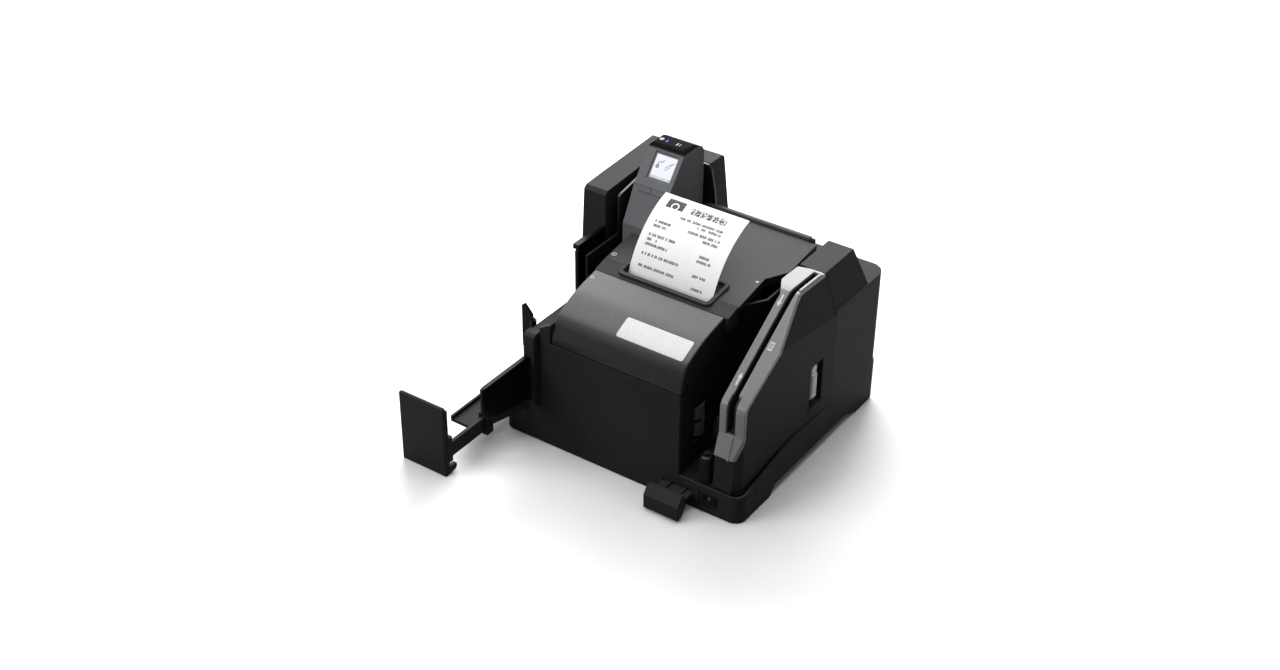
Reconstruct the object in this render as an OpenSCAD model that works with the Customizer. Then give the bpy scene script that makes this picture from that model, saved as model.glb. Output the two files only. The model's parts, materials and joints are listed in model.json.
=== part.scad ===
// Desktop cheque scanner: a cheque runs in at the right front, round the back of
// the machine and out into a pocket at the left. A receipt printer sits in the middle,
// a card reader on the right and a small display tower at the left rear.
// Millimetres. X to the right, Y to the rear, Z up, standing on z = 0.

/* [Overall] */
// Width of the lower housing
base_w = 231; // [215:1:280]
// Depth of the lower housing
base_d = 220; // [205:1:265]
// Height of the seam between lower housing and covers
base_h = 38; // [34:1:46]
// Height of the top face at the paper slot
top_h = 144.4; // [136:0.1:150]
// Height of the outer rear covers
outer_h = 127; // [118:1:134]
// Height of the humped cover at the right
hump_h = 159; // [152:1:166]
// Height of the tall cover at the left rear
block_h = 184; // [160:1:200]
// Height of the display tower
tower_h = 211; // [200:1:220]

/* [Walls and clearances] */
// Wall of the plastic covers
wall = 2.2; // [1.8:0.1:3]
// Gap between two covers that meet
seam = 0.4; // [0.3:0.1:0.8]
// Radial running clearance of shafts and pins
run = 0.06; // [0.03:0.01:0.1]

/* [Paper] */
// Width of the receipt paper
paper_w = 79.5; // [57:0.5:79.5]
// Diameter of the paper roll
roll_d = 78; // [40:1:80]
// Diameter of the platen roller
platen_d = 14; // [11:0.5:15]
// Bend radius of the printed receipt
receipt_r = 78; // [65:1:90]

/* [Feeder] */
// Width of the feeder well
well_w = 30; // [26:1:32]
// Width of the path where it passes the rollers
path_w = 8.6; // [7:0.1:9]
// Diameter of the drive rollers
roller_d = 18; // [14:1:20]
// Pull-out of the small tray in front of the feeder
tray_out = 12; // [6:1:20]

/* [Pocket] */
// Width of the stop plate
stop_w = 46; // [36:1:56]
// Height of the stop plate
stop_h = 66; // [50:1:80]
// How far the stop plate stands in front of the housing
stop_out = 79.5; // [60:0.5:95]
// Depth of the pocket floor in front of the housing
floor_out = 29; // [20:1:34]

/* [Display] */
// Width of the tower
tower_w = 35; // [33:0.5:37]
// Width of the screen
screen_w = 21; // [18:0.5:22]
// Height of the screen
screen_l = 21.4; // [18:0.2:22]

/* [Hidden] */
$fn = 48;

xr = base_w / 2;
xl = -xr;
yb = base_d;
deck_z = base_h - 13;           // top of the path floor
low_z = 0.8;                    // underside of the lower housing
floor_z = 8.5;                  // top of the housing's floor
arch_z = low_z + 7.9;           // top of the arches in the side walls
cover_z = base_h + seam / 2;    // lower edge of all covers
door_in = xr - 57.5 + well_w;   // inner face of the door
body_r = xr - 57.5;             // right wall of the middle body
body_l = xl + 27.5;             // left wall of the middle body
path_in = xr - 44.5;            // path at the right, inner side
path_out = path_in + path_w;    // path at the right, outer side
back_in = yb - 26;              // path at the rear, inner side
back_out = yb - 20;             // path at the rear, outer side
left_in = xl + 29.5;            // path at the left, inner side
left_out = xl + 24;             // path at the left, outer side
block_y = yb - 108;             // front face of the tall cover
arm_x = xl + 87;                // right end of the tall cover
tower_x = xl + 36.5;            // left side of the tower
tower_y = yb - 102;             // front of the tower
tower_back = yb - 34;
paper_x = -2.15;                // middle of the paper
bay_w = paper_w / 2 + 1.25;     // half the inner width of the paper bay
ring_x0 = paper_x - bay_w - 3.25;  // raised ring round the paper slot
ring_x1 = paper_x + bay_w + 2.75;
ring_y0 = 63;
ring_y1 = 97;
ring_t = 3.5;
slot_y = 74.4;                  // seam between the two halves of the ring
bay_y = yb - 79;                // axis of the paper roll
bay_z = base_h + 10 + 41;
fascia_h = 100.6;
front_x0 = xl + 50.3;           // curved front cover
front_x1 = body_r - 0.1;
hinge_y = 5.2;                  // hinge of the front cover
hinge_z = fascia_h + 3.6;
lid_y = yb - 32;                // hinge of the roll cover
lid_z = top_h + 4.2;
lid_back = lid_y - 3.6;
cart_y = yb - 2.6;              // hinge of the tall cover
cart_z = outer_h + 2.4;
door_x = xr - 16.5;             // hinge pin of the door
door_y = 8;
seam_y = yb - 84;               // seam between door and rear cover
bar_x = xl + 4.5;               // slide bar of the stop plate
face_y = tower_y + 17.5;        // crease in the face of the tower
face_z = tower_h - 28.4;
face_a = 51.8;
low_a = 61.9;
screen_x = tower_x + tower_w / 2 + 3;
arm_x0 = door_in - 9.5;
arm_y0 = 8.6;
pinch_x = path_out + 0.2;
shaft_r = 2.4;                  // shafts of the drive rollers
feed_x = body_r + 1.8 - roller_d / 2;
feed_y = 32;
motor_x = paper_x + bay_w - 14.85;
motor_y = 38;
side_x = path_in + 1.3 - roller_d / 2;
side_y = yb - 70;
rear_x = paper_x - bay_w - 3.85 - roller_d / 2;
rear_y = back_in + 1.3 - roller_d / 2;
exit_x = left_out + 2.3 - roller_d / 2;
exit_y = block_y + 24;
// Left run of the belt beside the cutter's rear leg, which stands clear of it.
belt_x = motor_x - 5 + (side_x - 2 - motor_x) * (72 - motor_y) / (side_y - motor_y);
leg_x = max(paper_x + bay_w - 5, belt_x + 2.6);
tray_x0 = body_r - 14;           // small tray in front of the feeder
tray_x1 = body_r + 14;
switch_x = xr - 34.1;           // left side of the rocker switch
// Overall box, so that the origin is at the middle of its underside.
stop_x = bar_x + 1.5;
shift_x = -(xr + stop_x - stop_w) / 2;
shift_y = -(yb - stop_out - 3.5) / 2;

module at_origin() translate([shift_x, shift_y, 0]) children();
module slab(x0, x1, y0, y1, z0, z1) translate([x0, y0, z0]) cube([x1 - x0, y1 - y0, z1 - z0]);
module up(x, y, z0, z1, r) translate([x, y, z0]) cylinder(r = r, h = z1 - z0);
module along_x(x0, x1, y, z, r) translate([x0, y, z]) rotate([0, 90, 0]) cylinder(r = r, h = x1 - x0);
module along_y(x, y0, y1, z, r) translate([x, y0, z]) rotate([-90, 0, 0]) cylinder(r = r, h = y1 - y0);
// Outline in Y and Z, extruded from x0 to x1.
module side_view(pts, x0, x1)
  translate([x0, 0, 0]) rotate([90, 0, 90]) linear_extrude(x1 - x0) polygon(pts);
// Outline in X and Z, extruded from y0 to y1.
module front_view(pts, y0, y1)
  translate([0, y1, 0]) rotate([90, 0, 0]) linear_extrude(y1 - y0) polygon(pts);
module plan(pts, z0, z1) translate([0, 0, z0]) linear_extrude(z1 - z0) polygon(pts);
module round_rect(x0, x1, y0, y1, r) {
  translate([x0 + r, y0]) square([x1 - x0 - 2 * r, y1 - y0]);
  translate([x0, y0 + r]) square([x1 - x0, y1 - y0 - 2 * r]);
  for (x = [x0 + r, x1 - r], y = [y0 + r, y1 - r]) translate([x, y]) circle(r);
}
module round_slab(x0, x1, y0, y1, r, z0, z1)
  translate([0, 0, z0]) linear_extrude(z1 - z0) round_rect(x0, x1, y0, y1, r);
// Places children on the sloping face of the tower: s runs up the slope.
module on_face(x, s) translate([x, face_y, face_z]) rotate([face_a, 0, 0]) translate([0, s, 0]) children();
// Height of the top faces at depth y.
function lid_top(y) = top_h + (y - slot_y) * 0.0468;
function strip_top(y) = top_h - (slot_y - y) * 0.263;
function arc(cx, cy, r, a0, a1, n) =
  [for (i = [0:n]) let (a = a0 + (a1 - a0) * i / n) [cx + r * cos(a), cy + r * sin(a)]];
function door_low(y) = deck_z + 1 + (base_h - deck_z - 1) * min(max((y - 3) / 72, 0), 1);

// Lower housing

module base_housing() at_origin() color([0.11, 0.11, 0.115]) {
  difference() {
    round_slab(xl, xr, 0, yb, 10, low_z, base_h);
    side_view([[46, -1], [46, low_z], [53, 5.5], [172, 5.5], [182, low_z], [182, -1]], xl - 1, xr + 1);
    for (x = [xl - 1, xr - wall]) side_view([[46, -1], [46, low_z], [54, arch_z], [174, arch_z], [186, low_z], [186, -1]],
                                            x, x + wall + 1);
    side_view([[yb - 6.5, -1], [yb - 6.5, low_z], [yb + 1, base_h], [yb + 1, -1]], xl - 1, xr + 1);
    round_slab(xl + wall, xr - wall, wall, yb - 9, 8, floor_z, base_h + 1);
    // The right front corner is lower, and its edge rises towards the rear.
    side_view([[-1, deck_z], [3, deck_z], [75, base_h], [75, base_h + 9], [-1, base_h + 9]],
              body_r + seam, xr + 1);
    for (x = [xl + 16, xr - 16], y = [22, yb - 23]) up(x, y, 0, 2.8, 8.1);
    // Shadow gap under the edge of the low corner.
    difference() {
      slab(body_r + 4, xr + 1, -1, 26, deck_z - 3.4, deck_z - 2.6);
      round_slab(body_r - 20, xr - 0.6, 0.6, 60, 9.4, deck_z - 4, deck_z - 2);
      slab(xr - 2, xr + 2, 24, 27, deck_z - 4, deck_z - 2);
    }
    slab(bar_x - 1.9, bar_x + 1.9, -1, 11, 16, 30.6);
    slab(tray_x0 - 0.4, tray_x1 + 0.4, -1, wall + 1, 11.6, 16.4);
    slab(switch_x - 3.6, switch_x + 15.4, -1, 1.2, 4, 19.8);
    slab(switch_x - 0.4, switch_x + 12.2, 0, wall + 1, 8.8, 17.2);
    slab(-62, 42, yb - 12, yb + 1, 9.6, 21.9);
    for (x = [-80:10:80]) slab(x - 1.6, x + 1.6, 70, 150, 0, floor_z + 1);
  }
  // Inner skirts that carry the floor above the side arches.
  for (x = [xl + wall, xr - wall - 3]) slab(x, x + 3, 44, 188, floor_z - 1, arch_z + 3);
  // Guides of the slide bar, the tray and the switch, and seats for the deck.
  for (y = [30, 70]) {
    slab(bar_x + 2, bar_x + 4.5, y, y + 20, floor_z, 32);
    slab(xl + wall - 0.5, bar_x + 4.5, y, y + 20, floor_z, 16);
  }
  for (x = [tray_x0 - 3, tray_x1 + 0.6]) slab(x, x + 2.4, wall - 0.5, 44, floor_z, 16.9);
  slab(tray_x0 - 1, tray_x1 + 1, wall + 0.4, 44, floor_z, 11.4);
  for (x = [body_r + 3, xr - 8, xl + 41, xl + 12]) up(x, yb - 16, floor_z, deck_z - 2.5, 4);
  for (p = [[door_in + 2, 100], [body_r + 14, 56], [xl + 10, 160], [xl + 26, 112]])
    up(p[0], p[1], floor_z, deck_z - 2.5, 4);
  difference() {
    up(door_x, door_y, floor_z, deck_z - 2.5, 6);
    up(door_x, door_y, floor_z + 2, deck_z, 2.5);
  }
}

module rubber_feet() at_origin() color([0.06, 0.06, 0.06])
  for (x = [xl + 16, xr - 16], y = [22, yb - 23]) difference() {
    up(x, y, 0, 2.8, 8);
    up(x, y, -1, 0.6, 4);
  }

module chassis_plate() at_origin() color([0.72, 0.73, 0.75]) difference() {
  union() {
    slab(-84, leg_x + 6.15, 54, yb - 30, floor_z, floor_z + 1.2);
    for (x = [-84, leg_x + 4.95]) slab(x, x + 1.2, 54, yb - 30, floor_z, floor_z + 8);
    for (x = [-72, 22], y = [62, yb - 44]) up(x, y, floor_z, 12, 3);
  }
  for (x = [-72, 22], y = [62, yb - 44]) up(x, y, floor_z - 1, 15, 1.5);
  for (x = [-60:20:20]) slab(x - 5, x + 5, 90, 104, floor_z - 1, floor_z + 2);
}

module main_board() at_origin() color([0.07, 0.27, 0.14]) difference() {
  slab(-80, 28, 56, yb - 36, 12, 13.6);
  for (x = [-72, 22], y = [62, yb - 44]) up(x, y, 11, 15, 1.6);
  // Room for the legs of the cutter and of the paper bay.
  for (x = [paper_x - bay_w - 1, leg_x - 2.5]) slab(x, x + 9, 66, 74, 11, 15);
  for (x = [paper_x - bay_w - 1, paper_x + bay_w - 11]) slab(x, x + 11, bay_y - 32, bay_y - 8, 11, 15);
}

module board_parts() at_origin() color([0.08, 0.08, 0.09]) {
  slab(-20, 2, 84, 106, 13.6, 15.6);
  slab(-66, -50, 86, 102, 13.6, 15.2);
  slab(-28, -12, 138, 154, 13.6, 15.4);
  for (y = [76:13:115]) up(15, y, 13.6, 18.6, 4);
  for (x = [-66:16:-18]) slab(x, x + 12, 58, 63, 13.6, 18);
  for (x = [-24:12:12]) slab(x, x + 8, 168, 176, 13.6, 15);
}

module port_plate() at_origin() color([0.16, 0.16, 0.165]) difference() {
  slab(-61.8, 41.8, yb - 13, yb - 11.2, floor_z, 21.7);
  slab(-48.2, -35.8, yb - 15, yb - 9, 10.3, 21.3);
  for (x = [-26, -6]) slab(x - 7.2, x + 7.2, yb - 15, yb - 9, 11.8, 19.4);
  slab(9.8, 26.2, yb - 15, yb - 9, 10.3, 21.3);
  along_y(34, yb - 15, yb - 9, 15.6, 4.6);
}

module port_shells() at_origin() color([0.75, 0.76, 0.78]) {
  difference() {
    slab(-48, -36, yb - 26, yb - 10.6, 10.5, 21.1);
    slab(-46.8, -37.2, yb - 24, yb - 9, 11.7, 19.9);
  }
  slab(-44.5, -39.5, yb - 24.5, yb - 12, 14.4, 17.2);
  for (x = [-26, -6]) {
    difference() {
      slab(x - 7, x + 7, yb - 26, yb - 10.6, 12, 19.2);
      slab(x - 6.3, x + 6.3, yb - 24, yb - 9, 12.7, 18.5);
    }
    slab(x - 5.6, x + 5.6, yb - 24.5, yb - 12, 13.6, 15);
  }
  difference() {
    slab(10, 26, yb - 28, yb - 10.6, 10.5, 21.1);
    slab(12, 24, yb - 26, yb - 9, 12, 20);
  }
}

module power_inlet() at_origin() color([0.05, 0.05, 0.05]) {
  difference() {
    along_y(34, yb - 26, yb - 10.6, 15.6, 4.4);
    along_y(34, yb - 24, yb - 9, 15.6, 3.2);
  }
  along_y(34, yb - 24.5, yb - 13, 15.6, 1);
}

// Path floor and walls

module path_deck() at_origin() color([0.09, 0.09, 0.095]) difference() {
  union() {
    plan([[body_r + 0.6, 2.6], [xr - 12, 2.8], [xr - 5, 9], [xr - 3, 60], [xr - 3, yb - 17],
          [xr - 10, yb - 9.8], [xl + 12, yb - 9.8], [xl + 3, yb - 17], [xl + 3, block_y],
          [body_l - 6, block_y], [body_l - 6, 74], [left_in + 6, 74], [left_in + 6, back_in - 8],
          [path_in - 9, back_in - 8], [path_in - 4, 106], [body_r + 0.6, 86]], deck_z - 2.5, deck_z);
    for (y = [20, 62]) slab(body_r + 6, door_in - 2, y, y + 1.6, deck_z, deck_z + 0.8);
  }
  up(door_x, door_y, deck_z - 3, deck_z + 1, 2.7);
  for (p = [[side_x, side_y], [rear_x, rear_y], [exit_x, exit_y]])
    up(p[0], p[1], deck_z - 3, deck_z + 1, shaft_r + run);
}

guide_out = [[body_r, 3.2], [body_r, 84], [path_in, 104], [path_in, yb - 38], [path_in - 12, back_in],
             [left_in + 11, back_in], [left_in, yb - 37], [left_in, 76]];
guide_in = [[left_in + wall, 76], [left_in + wall, yb - 38], [left_in + 12, back_in - wall],
            [path_in - 13, back_in - wall], [path_in - wall, yb - 39], [path_in - wall, 105],
            [body_r - wall, 85], [body_r - wall, 3.2]];
guide_h = top_h - 5.4;
lug_x0 = tower_x + tower_w + 2.6;
lug_x1 = body_r + 2.4;
wing_x = arm_x - 5.5;            // right end of the upper slot wall
module inner_guide() at_origin() color([0.08, 0.08, 0.085]) {
  difference() {
    union() {
      plan(concat(guide_out, guide_in), deck_z + 0.1, guide_h);
      slab(wing_x + 0.2, path_in - 13, back_in - wall, back_in, guide_h - 1, lid_top(lid_back) - 0.2);
    }
    side_view([[-1, fascia_h - 2.6], [10.4, fascia_h - 2.6], [10.4, 105.4], [20.2, 105.4], [60.4, 118.6],
               [60.4, 128.6], [75, 128.6], [75, 180], [-1, 180]], body_r - 9, body_r + 1);
    slab(body_r - 9, body_r + 1, feed_y - roller_d / 2 - 2, feed_y + roller_d / 2 + 2, 44, 78);
    slab(body_r - 9, body_r + 1, 63, 75, 29, 122);
    slab(body_r - 9, body_r + 1, 49, 57, 28, 46);
    for (z = [42, 86]) slab(path_in - 5, path_in + 1, side_y - roller_d / 2 - 2, side_y + roller_d / 2 + 2, z, z + 24);
    for (z = [42, 82]) slab(rear_x - roller_d / 2 - 2, rear_x + roller_d / 2 + 2, back_in - 5, back_in + 1, z, z + 24);
    slab(path_in - 9, path_in + 1, lid_back - 1.4, yb, outer_h + 4, guide_h + 1);
  }
  // Bearings at the upper ends of the roller shafts.
  difference() {
    union() {
      slab(feed_x - 6, body_r - wall + 0.1, feed_y - 6, feed_y + 6, 80, 82.4);
      slab(side_x - 8, path_in - wall + 0.1, side_y - 8, side_y + 8, 112, 114.4);
      slab(rear_x - 6, rear_x + 6, rear_y - 6, back_in - wall + 0.1, 106.4, 108.4);
    }
    for (p = [[feed_x, feed_y], [side_x, side_y], [rear_x, rear_y]]) up(p[0], p[1], 70, 120, shaft_r + run);
  }
  // Shelf under the display tower.
  slab(left_in + wall - 0.1, tower_x + tower_w - 3.2, tower_y + 4, tower_y + 56, 107, 109.9);
  // Lugs and pin of the roll cover's hinge.
  for (x = [lug_x0, lug_x1]) {
    slab(x, x + 2.8, lid_y - 3, back_in - wall + 0.1, 128, guide_h);
    slab(x, x + 2.8, lid_y - 3, lid_y + 3, guide_h - 1, lid_z);
    along_x(x, x + 2.8, lid_y, lid_z, 3);
  }
  along_x(lug_x0, lug_x1 + 2.8, lid_y, lid_z, 1.5);
}

// Upper inner wall of the open slot behind and beside the tower.
module slot_wall() at_origin() color([0.10, 0.10, 0.105]) intersection() {
  plan([[left_in, yb - 99], [left_in, yb - 37], [left_in + 11, back_in], [wing_x, back_in], [wing_x, back_in - wall],
        [left_in + 12, back_in - wall], [left_in + wall, yb - 38], [left_in + wall, yb - 99]], guide_h + 0.1, 200);
  side_view([[yb - 100, 100], [yb - 100, 170], [yb - 98.6, 173.4], [yb - 96, 175], [yb - 78, 178], [yb - 34, 184.6],
             [yb - 24, 185], [yb - 24, 100]],
            left_in - 1, wing_x + 1);
  front_view([[left_in - 1, 100], [wing_x, 100], [wing_x, guide_h + 1], [wing_x - 2, 161], [wing_x - 6, 181],
              [wing_x - 9, 185], [left_in - 1, 185]], yb - 100, back_in + 1);
}

module front_fascia() at_origin() color([0.085, 0.085, 0.09]) {
  difference() {
    slab(body_l + 10.4, body_r, 0, 3, cover_z, fascia_h);
    slab(body_l, body_r + 1, 0.8, 4, fascia_h - 2.6, fascia_h + 1);
    slab(body_l + 9, body_l + 11.6, -1, 1, base_h, fascia_h + 1);
  }
  slab(body_l + 14, body_r - 6, 3, 5, cover_z + 4, cover_z + 6);
  slab(body_l + 14, body_r - 6, 3, 5, fascia_h - 8, fascia_h - 6);
  for (x = [body_l + 24, -20, 30]) slab(x, x + 2, 3, 6, cover_z + 4, fascia_h - 6);
  // Lugs with the hinge pins of the curved cover.
  for (x = [front_x0 + wall + 4.4, front_x1 - wall - 7.4]) {
    translate([0, hinge_y, hinge_z])
      side_view([[0.2, 1.7], [4.6, 1], [7.4, -3.5], [7.4, -13], [-2.3, -13], [-2.3, -8.8], [4, -7.4],
                 [4.4, -3.6], [1.5, -1]], x, x + 3);
    along_x(x, x + 3, hinge_y, hinge_z, 1.8);
  }
  along_x(front_x0 + wall + 0.6, front_x0 + wall + 7, hinge_y, hinge_z, 1.2);
  along_x(front_x1 - wall - 7, front_x1 - wall - 0.6, hinge_y, hinge_z, 1.2);
}

module corner_post() at_origin() color([0.15, 0.15, 0.155])
  side_view(concat([[3, cover_z], [3, 107.2], [0, 107]], arc(-1, 102, 5, 100, 180, 6),
                   [[-6, 46], [-4.5, cover_z]]), body_l, body_l + 10.3);

module side_ledge() at_origin() color([0.19, 0.19, 0.195]) {
  slab(body_l, body_l + wall, 3.2, 73.6, cover_z, 105);
  slab(body_l, front_x0 - seam, 3.2, 73.6, 105 - wall, 105);
  slab(front_x0 - seam - wall, front_x0 - seam, 3.2, 60, 96, 118);
  slab(front_x0 - seam - wall, front_x0 - seam, 60, tower_y - 1, 96, 127);
  slab(left_in + wall + 0.1, front_x0 - seam, 73.6, tower_y - 1, 105 - wall, 105);
  // Lug and pin of the pocket flap.
  slab(body_l - 6, body_l + 0.1, 9.4, 14.6, 76, 79.7);
  up(body_l - 3.4, 12, 76, 110, 1.2);
}

// Printer in the middle

module slot_shroud() at_origin() color([0.17, 0.17, 0.175]) {
  difference() {
    side_view([[60.5, 129], [60.5, strip_top(60.5)], [slot_y - 0.2, top_h], [slot_y - 0.2, 129]],
              front_x0, xr - 54);
    side_view([[62.7, 128], [62.7, strip_top(62.7) - wall], [72, strip_top(72) - wall], [72, 128]],
              front_x0 + wall, ring_x0 - 1);
    side_view([[62.7, 128], [62.7, strip_top(62.7) - wall], [72, strip_top(72) - wall], [72, 128]],
              ring_x1 + 1, xr - 56.2);
    side_view([[ring_y0 + ring_t, 150], [ring_y0 + ring_t, 141.4], [72.4, 134], [75, 134], [75, 150]],
              ring_x0 + ring_t, ring_x1 - ring_t);
    slab(paper_x - bay_w - 2, paper_x + bay_w + 2, 60, 75, 131.2, 133.4);
    for (x = [ring_x0 + ring_t + 2:3:ring_x1 - ring_t - 3])
      side_view([[67.6, 141], [72.2, 135.2], [71.6, 134.4], [66.8, 140.2]], x, x + 1.2);
  }
  intersection() {
    slot_ring();
    side_view([[60, strip_top(60)], [60, 143.6], [slot_y - 0.2, 145.6 + top_h - 144.4],
               [slot_y - 0.2, strip_top(slot_y - 0.2)]], ring_x0 - 1, ring_x1 + 1);
  }
  // Foot on the side cover.
  slab(front_x0, front_x0 + 4, 61, slot_y - 0.2, 124, 130);
}

module slot_ring() difference() {
  round_slab(ring_x0, ring_x1, ring_y0, ring_y1, 5, 120, 170);
  round_slab(ring_x0 + ring_t, ring_x1 - ring_t, ring_y0 + ring_t, ring_y1 - ring_t, 2.5, 119, 171);
}

module roll_bay() at_origin() color([0.07, 0.07, 0.075]) {
  difference() {
    union() {
      intersection() {
        along_x(paper_x - bay_w - 2.5, paper_x + bay_w + 2.5, bay_y, bay_z, 43.2);
        slab(paper_x - bay_w - 3, paper_x + bay_w + 3, bay_y - 44, bay_y + 44, bay_z - 44, bay_z + 1);
      }
      slab(paper_x - bay_w - 2.5, paper_x + bay_w + 2.5, bay_y - 43.2, bay_y + 43.2, bay_z, top_h - 12);
    }
    along_x(paper_x - bay_w, paper_x + bay_w, bay_y, bay_z, 41);
    slab(paper_x - bay_w, paper_x + bay_w, bay_y - 41, bay_y + 41, bay_z, top_h);
    slab(paper_x - bay_w, paper_x + bay_w, bay_y - 47, bay_y - 30, bay_z + 22, top_h);
    for (x = [paper_x - bay_w - 3, paper_x + bay_w - 1]) slab(x, x + 4, bay_y - 8, bay_y + 8, bay_z - 20, bay_z + 30);
  }
  for (x = [paper_x - bay_w + 1, paper_x + bay_w - 9]) {
    slab(x, x + 8, bay_y - 30, bay_y - 10, floor_z + 1.2, bay_z - 40);
    slab(x, x + 3, bay_y + 42, back_in - wall - 0.1, 100, 112);
  }
}

module thermal_head() at_origin() color([0.66, 0.67, 0.69]) {
  slab(paper_x - bay_w - 1, paper_x + bay_w + 1, 79, 81.4, 112, 132);
  slab(paper_x - bay_w, paper_x + bay_w, 81.4, 82.4, 120, 131);
  slab(paper_x - 30, paper_x + 30, 76, 79, 114, 117);
  for (x = [paper_x - bay_w - 3, paper_x + bay_w]) slab(x, x + 3, 76, 84, 95, 132);
}

module cutter_frame() at_origin() color([0.78, 0.78, 0.8]) {
  difference() {
    slab(paper_x - bay_w - 5, paper_x + bay_w + 5, 20, 86, 92, 95);
    for (x = [paper_x - 34:17:paper_x + 34]) slab(x - 5, x + 5, 26, 54, 91, 96);
  }
  slab(paper_x - bay_w - 5, paper_x + bay_w + 5, 71.4, 73.6, 95, 127);
  difference() {
    slab(paper_x - bay_w - 5, paper_x + bay_w + 5, 40, 60, 95, 131.4);
    slab(paper_x - bay_w - 2.8, paper_x + bay_w + 2.8, 39, 61, 94, 129);
    for (x = [paper_x - 30:20:paper_x + 30]) slab(x - 6, x + 6, 45, 55, 128, 132);
  }
  for (x = [paper_x - bay_w - 5, paper_x + bay_w + 2.4]) slab(x, x + 2.6, 40, 60, 131.4, 132.8);
  for (x = [paper_x - bay_w + 1, paper_x + bay_w - 5]) slab(x, x + 4, 20, 24, floor_z, 92);
  for (x = [paper_x - bay_w + 1, leg_x]) slab(x, x + 4, 68, 72, floor_z + 1.2, 92);
}

module cutter_blade() at_origin() color([0.82, 0.83, 0.85])
  plan(concat([[paper_x - bay_w, 41], [paper_x - bay_w, 64]],
              [for (i = [0:12]) [paper_x + (bay_w - 5) * (i - 6) / 6, 62 + 5 * abs(i - 6) / 6]],
              [[paper_x + bay_w, 64], [paper_x + bay_w, 41]]), 131.7, 132.9);

plat_y = 83.2 + platen_d / 2;
plat_z = top_h - 17.4;
module platen_roller() at_origin() color([0.12, 0.12, 0.12]) {
  along_x(paper_x - bay_w + 0.5, paper_x + bay_w - 0.5, plat_y, plat_z, platen_d / 2);
  along_x(paper_x - bay_w - 6, paper_x + bay_w + 9, plat_y, plat_z, 2.5);
  difference() {
    along_x(paper_x + bay_w + 6, paper_x + bay_w + 8.6, plat_y, plat_z, 6);
    for (a = [0:24:359]) translate([0, plat_y, plat_z]) rotate([a, 0, 0])
      slab(paper_x + bay_w + 5, paper_x + bay_w + 10, 5, 7, -0.6, 0.6);
  }
}

module paper_roll() at_origin() color([0.95, 0.95, 0.94]) difference() {
  along_x(paper_x - paper_w / 2, paper_x + paper_w / 2, bay_y, bay_z - 41 + roll_d / 2 + 0.4, roll_d / 2);
  along_x(paper_x - 60, paper_x + 60, bay_y, bay_z - 41 + roll_d / 2 + 0.4, 8.5);
}

lid_edge = [[front_x0, slot_y + 0.2], [xr - 53.5, slot_y + 0.2], [body_r + 0.6, 119], [path_in - 1, 138],
            [path_in - 3, lid_back], [tower_x + tower_w + 2, lid_back], [tower_x + tower_w + 2, tower_y + 9],
            [tower_x + tower_w + 2, tower_y - 1.4], [front_x0 - 3.6, tower_y - 1.4]];
lid_core = [[front_x0 + wall, slot_y + 0.2 + wall], [xr - 53.5 - wall, slot_y + 0.2 + wall],
            [body_r + 0.6 - wall, 118], [path_in - 1 - wall, 137], [path_in - 3 - wall, lid_back - wall],
            [tower_x + tower_w + 2 + wall, lid_back - wall], [tower_x + tower_w + 2 + wall, tower_y - 1.4 - wall],
            [front_x0 - 3.2 + wall, tower_y - 1.4 - wall]];
module roll_cover() at_origin() color([0.17, 0.17, 0.175]) {
  difference() {
    intersection() {
      plan(lid_edge, 120, 170);
      side_view([[slot_y, guide_h + 0.4], [slot_y, top_h], [lid_back, lid_top(lid_back)],
                 [lid_back, guide_h + 0.4]], xl, xr);
    }
    intersection() {
      plan(lid_core, 110, 170);
      side_view([[slot_y, guide_h - 1], [slot_y, top_h - wall], [lid_back, lid_top(lid_back) - wall],
                 [lid_back, guide_h - 1]], xl, xr);
    }
    slab(ring_x0 + ring_t, ring_x1 - ring_t, slot_y - 1, ring_y1 - ring_t, 130, 170);
  }
  // Sloping recess behind the receipt and the rear half of the ring.
  difference() {
    side_view([[77.2, 136.5], [77.2, 140], [ring_y1 - ring_t + 1, lid_top(95)],
               [ring_y1 - ring_t + 1, lid_top(95) - wall], [84, 136.5]],
              ring_x0 + ring_t - 0.5, ring_x1 - ring_t + 0.5);
    slab(ring_x0, ring_x1, 70, 77.6, 130, 138);
  }
  intersection() {
    slot_ring();
    side_view([[slot_y + 0.2, lid_top(slot_y)], [slot_y + 0.2, 145.6 + top_h - 144.4],
               [100, 148 + top_h - 144.4], [100, lid_top(100)]], ring_x0 - 1, ring_x1 + 1);
  }
  // Ears that carry the platen roller.
  for (x = [paper_x - bay_w - 4.8, paper_x + bay_w + 3.2]) difference() {
    slab(x, x + 1.6, plat_y - 6.2, plat_y + 6.8, plat_z - 5, top_h);
    along_x(x - 1, x + 3, plat_y, plat_z, 2.5 + run);
  }
  // Hinge barrel at the rear.
  difference() {
    union() {
      along_x(lug_x0 + 3.2, lug_x1 - 0.4, lid_y, lid_z, 3.2);
      slab(lug_x0 + 3.2, lug_x1 - 0.4, lid_back - 1, lid_y, lid_z - 2, lid_top(lid_back) - 0.1);
    }
    along_x(lug_x0, lug_x1 + 3, lid_y, lid_z, 1.5 + run);
  }
}

receipt_c = [slot_y + 73.5, top_h - 30.4];
module receipt() at_origin() color([0.96, 0.96, 0.95])
  translate([paper_x - paper_w / 2, receipt_c[0], receipt_c[1]]) rotate([90, 0, 90]) linear_extrude(paper_w)
    intersection() {
      difference() {
        circle(receipt_r + 0.15, $fn = 180);
        circle(receipt_r - 0.15, $fn = 180);
      }
      polygon([[0, 0], [-120 * cos(17), 120 * sin(17)], [-120, 160], [-120 * sin(16), 120 * cos(16)]]);
    }

// Curved cover over the cutter

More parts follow.
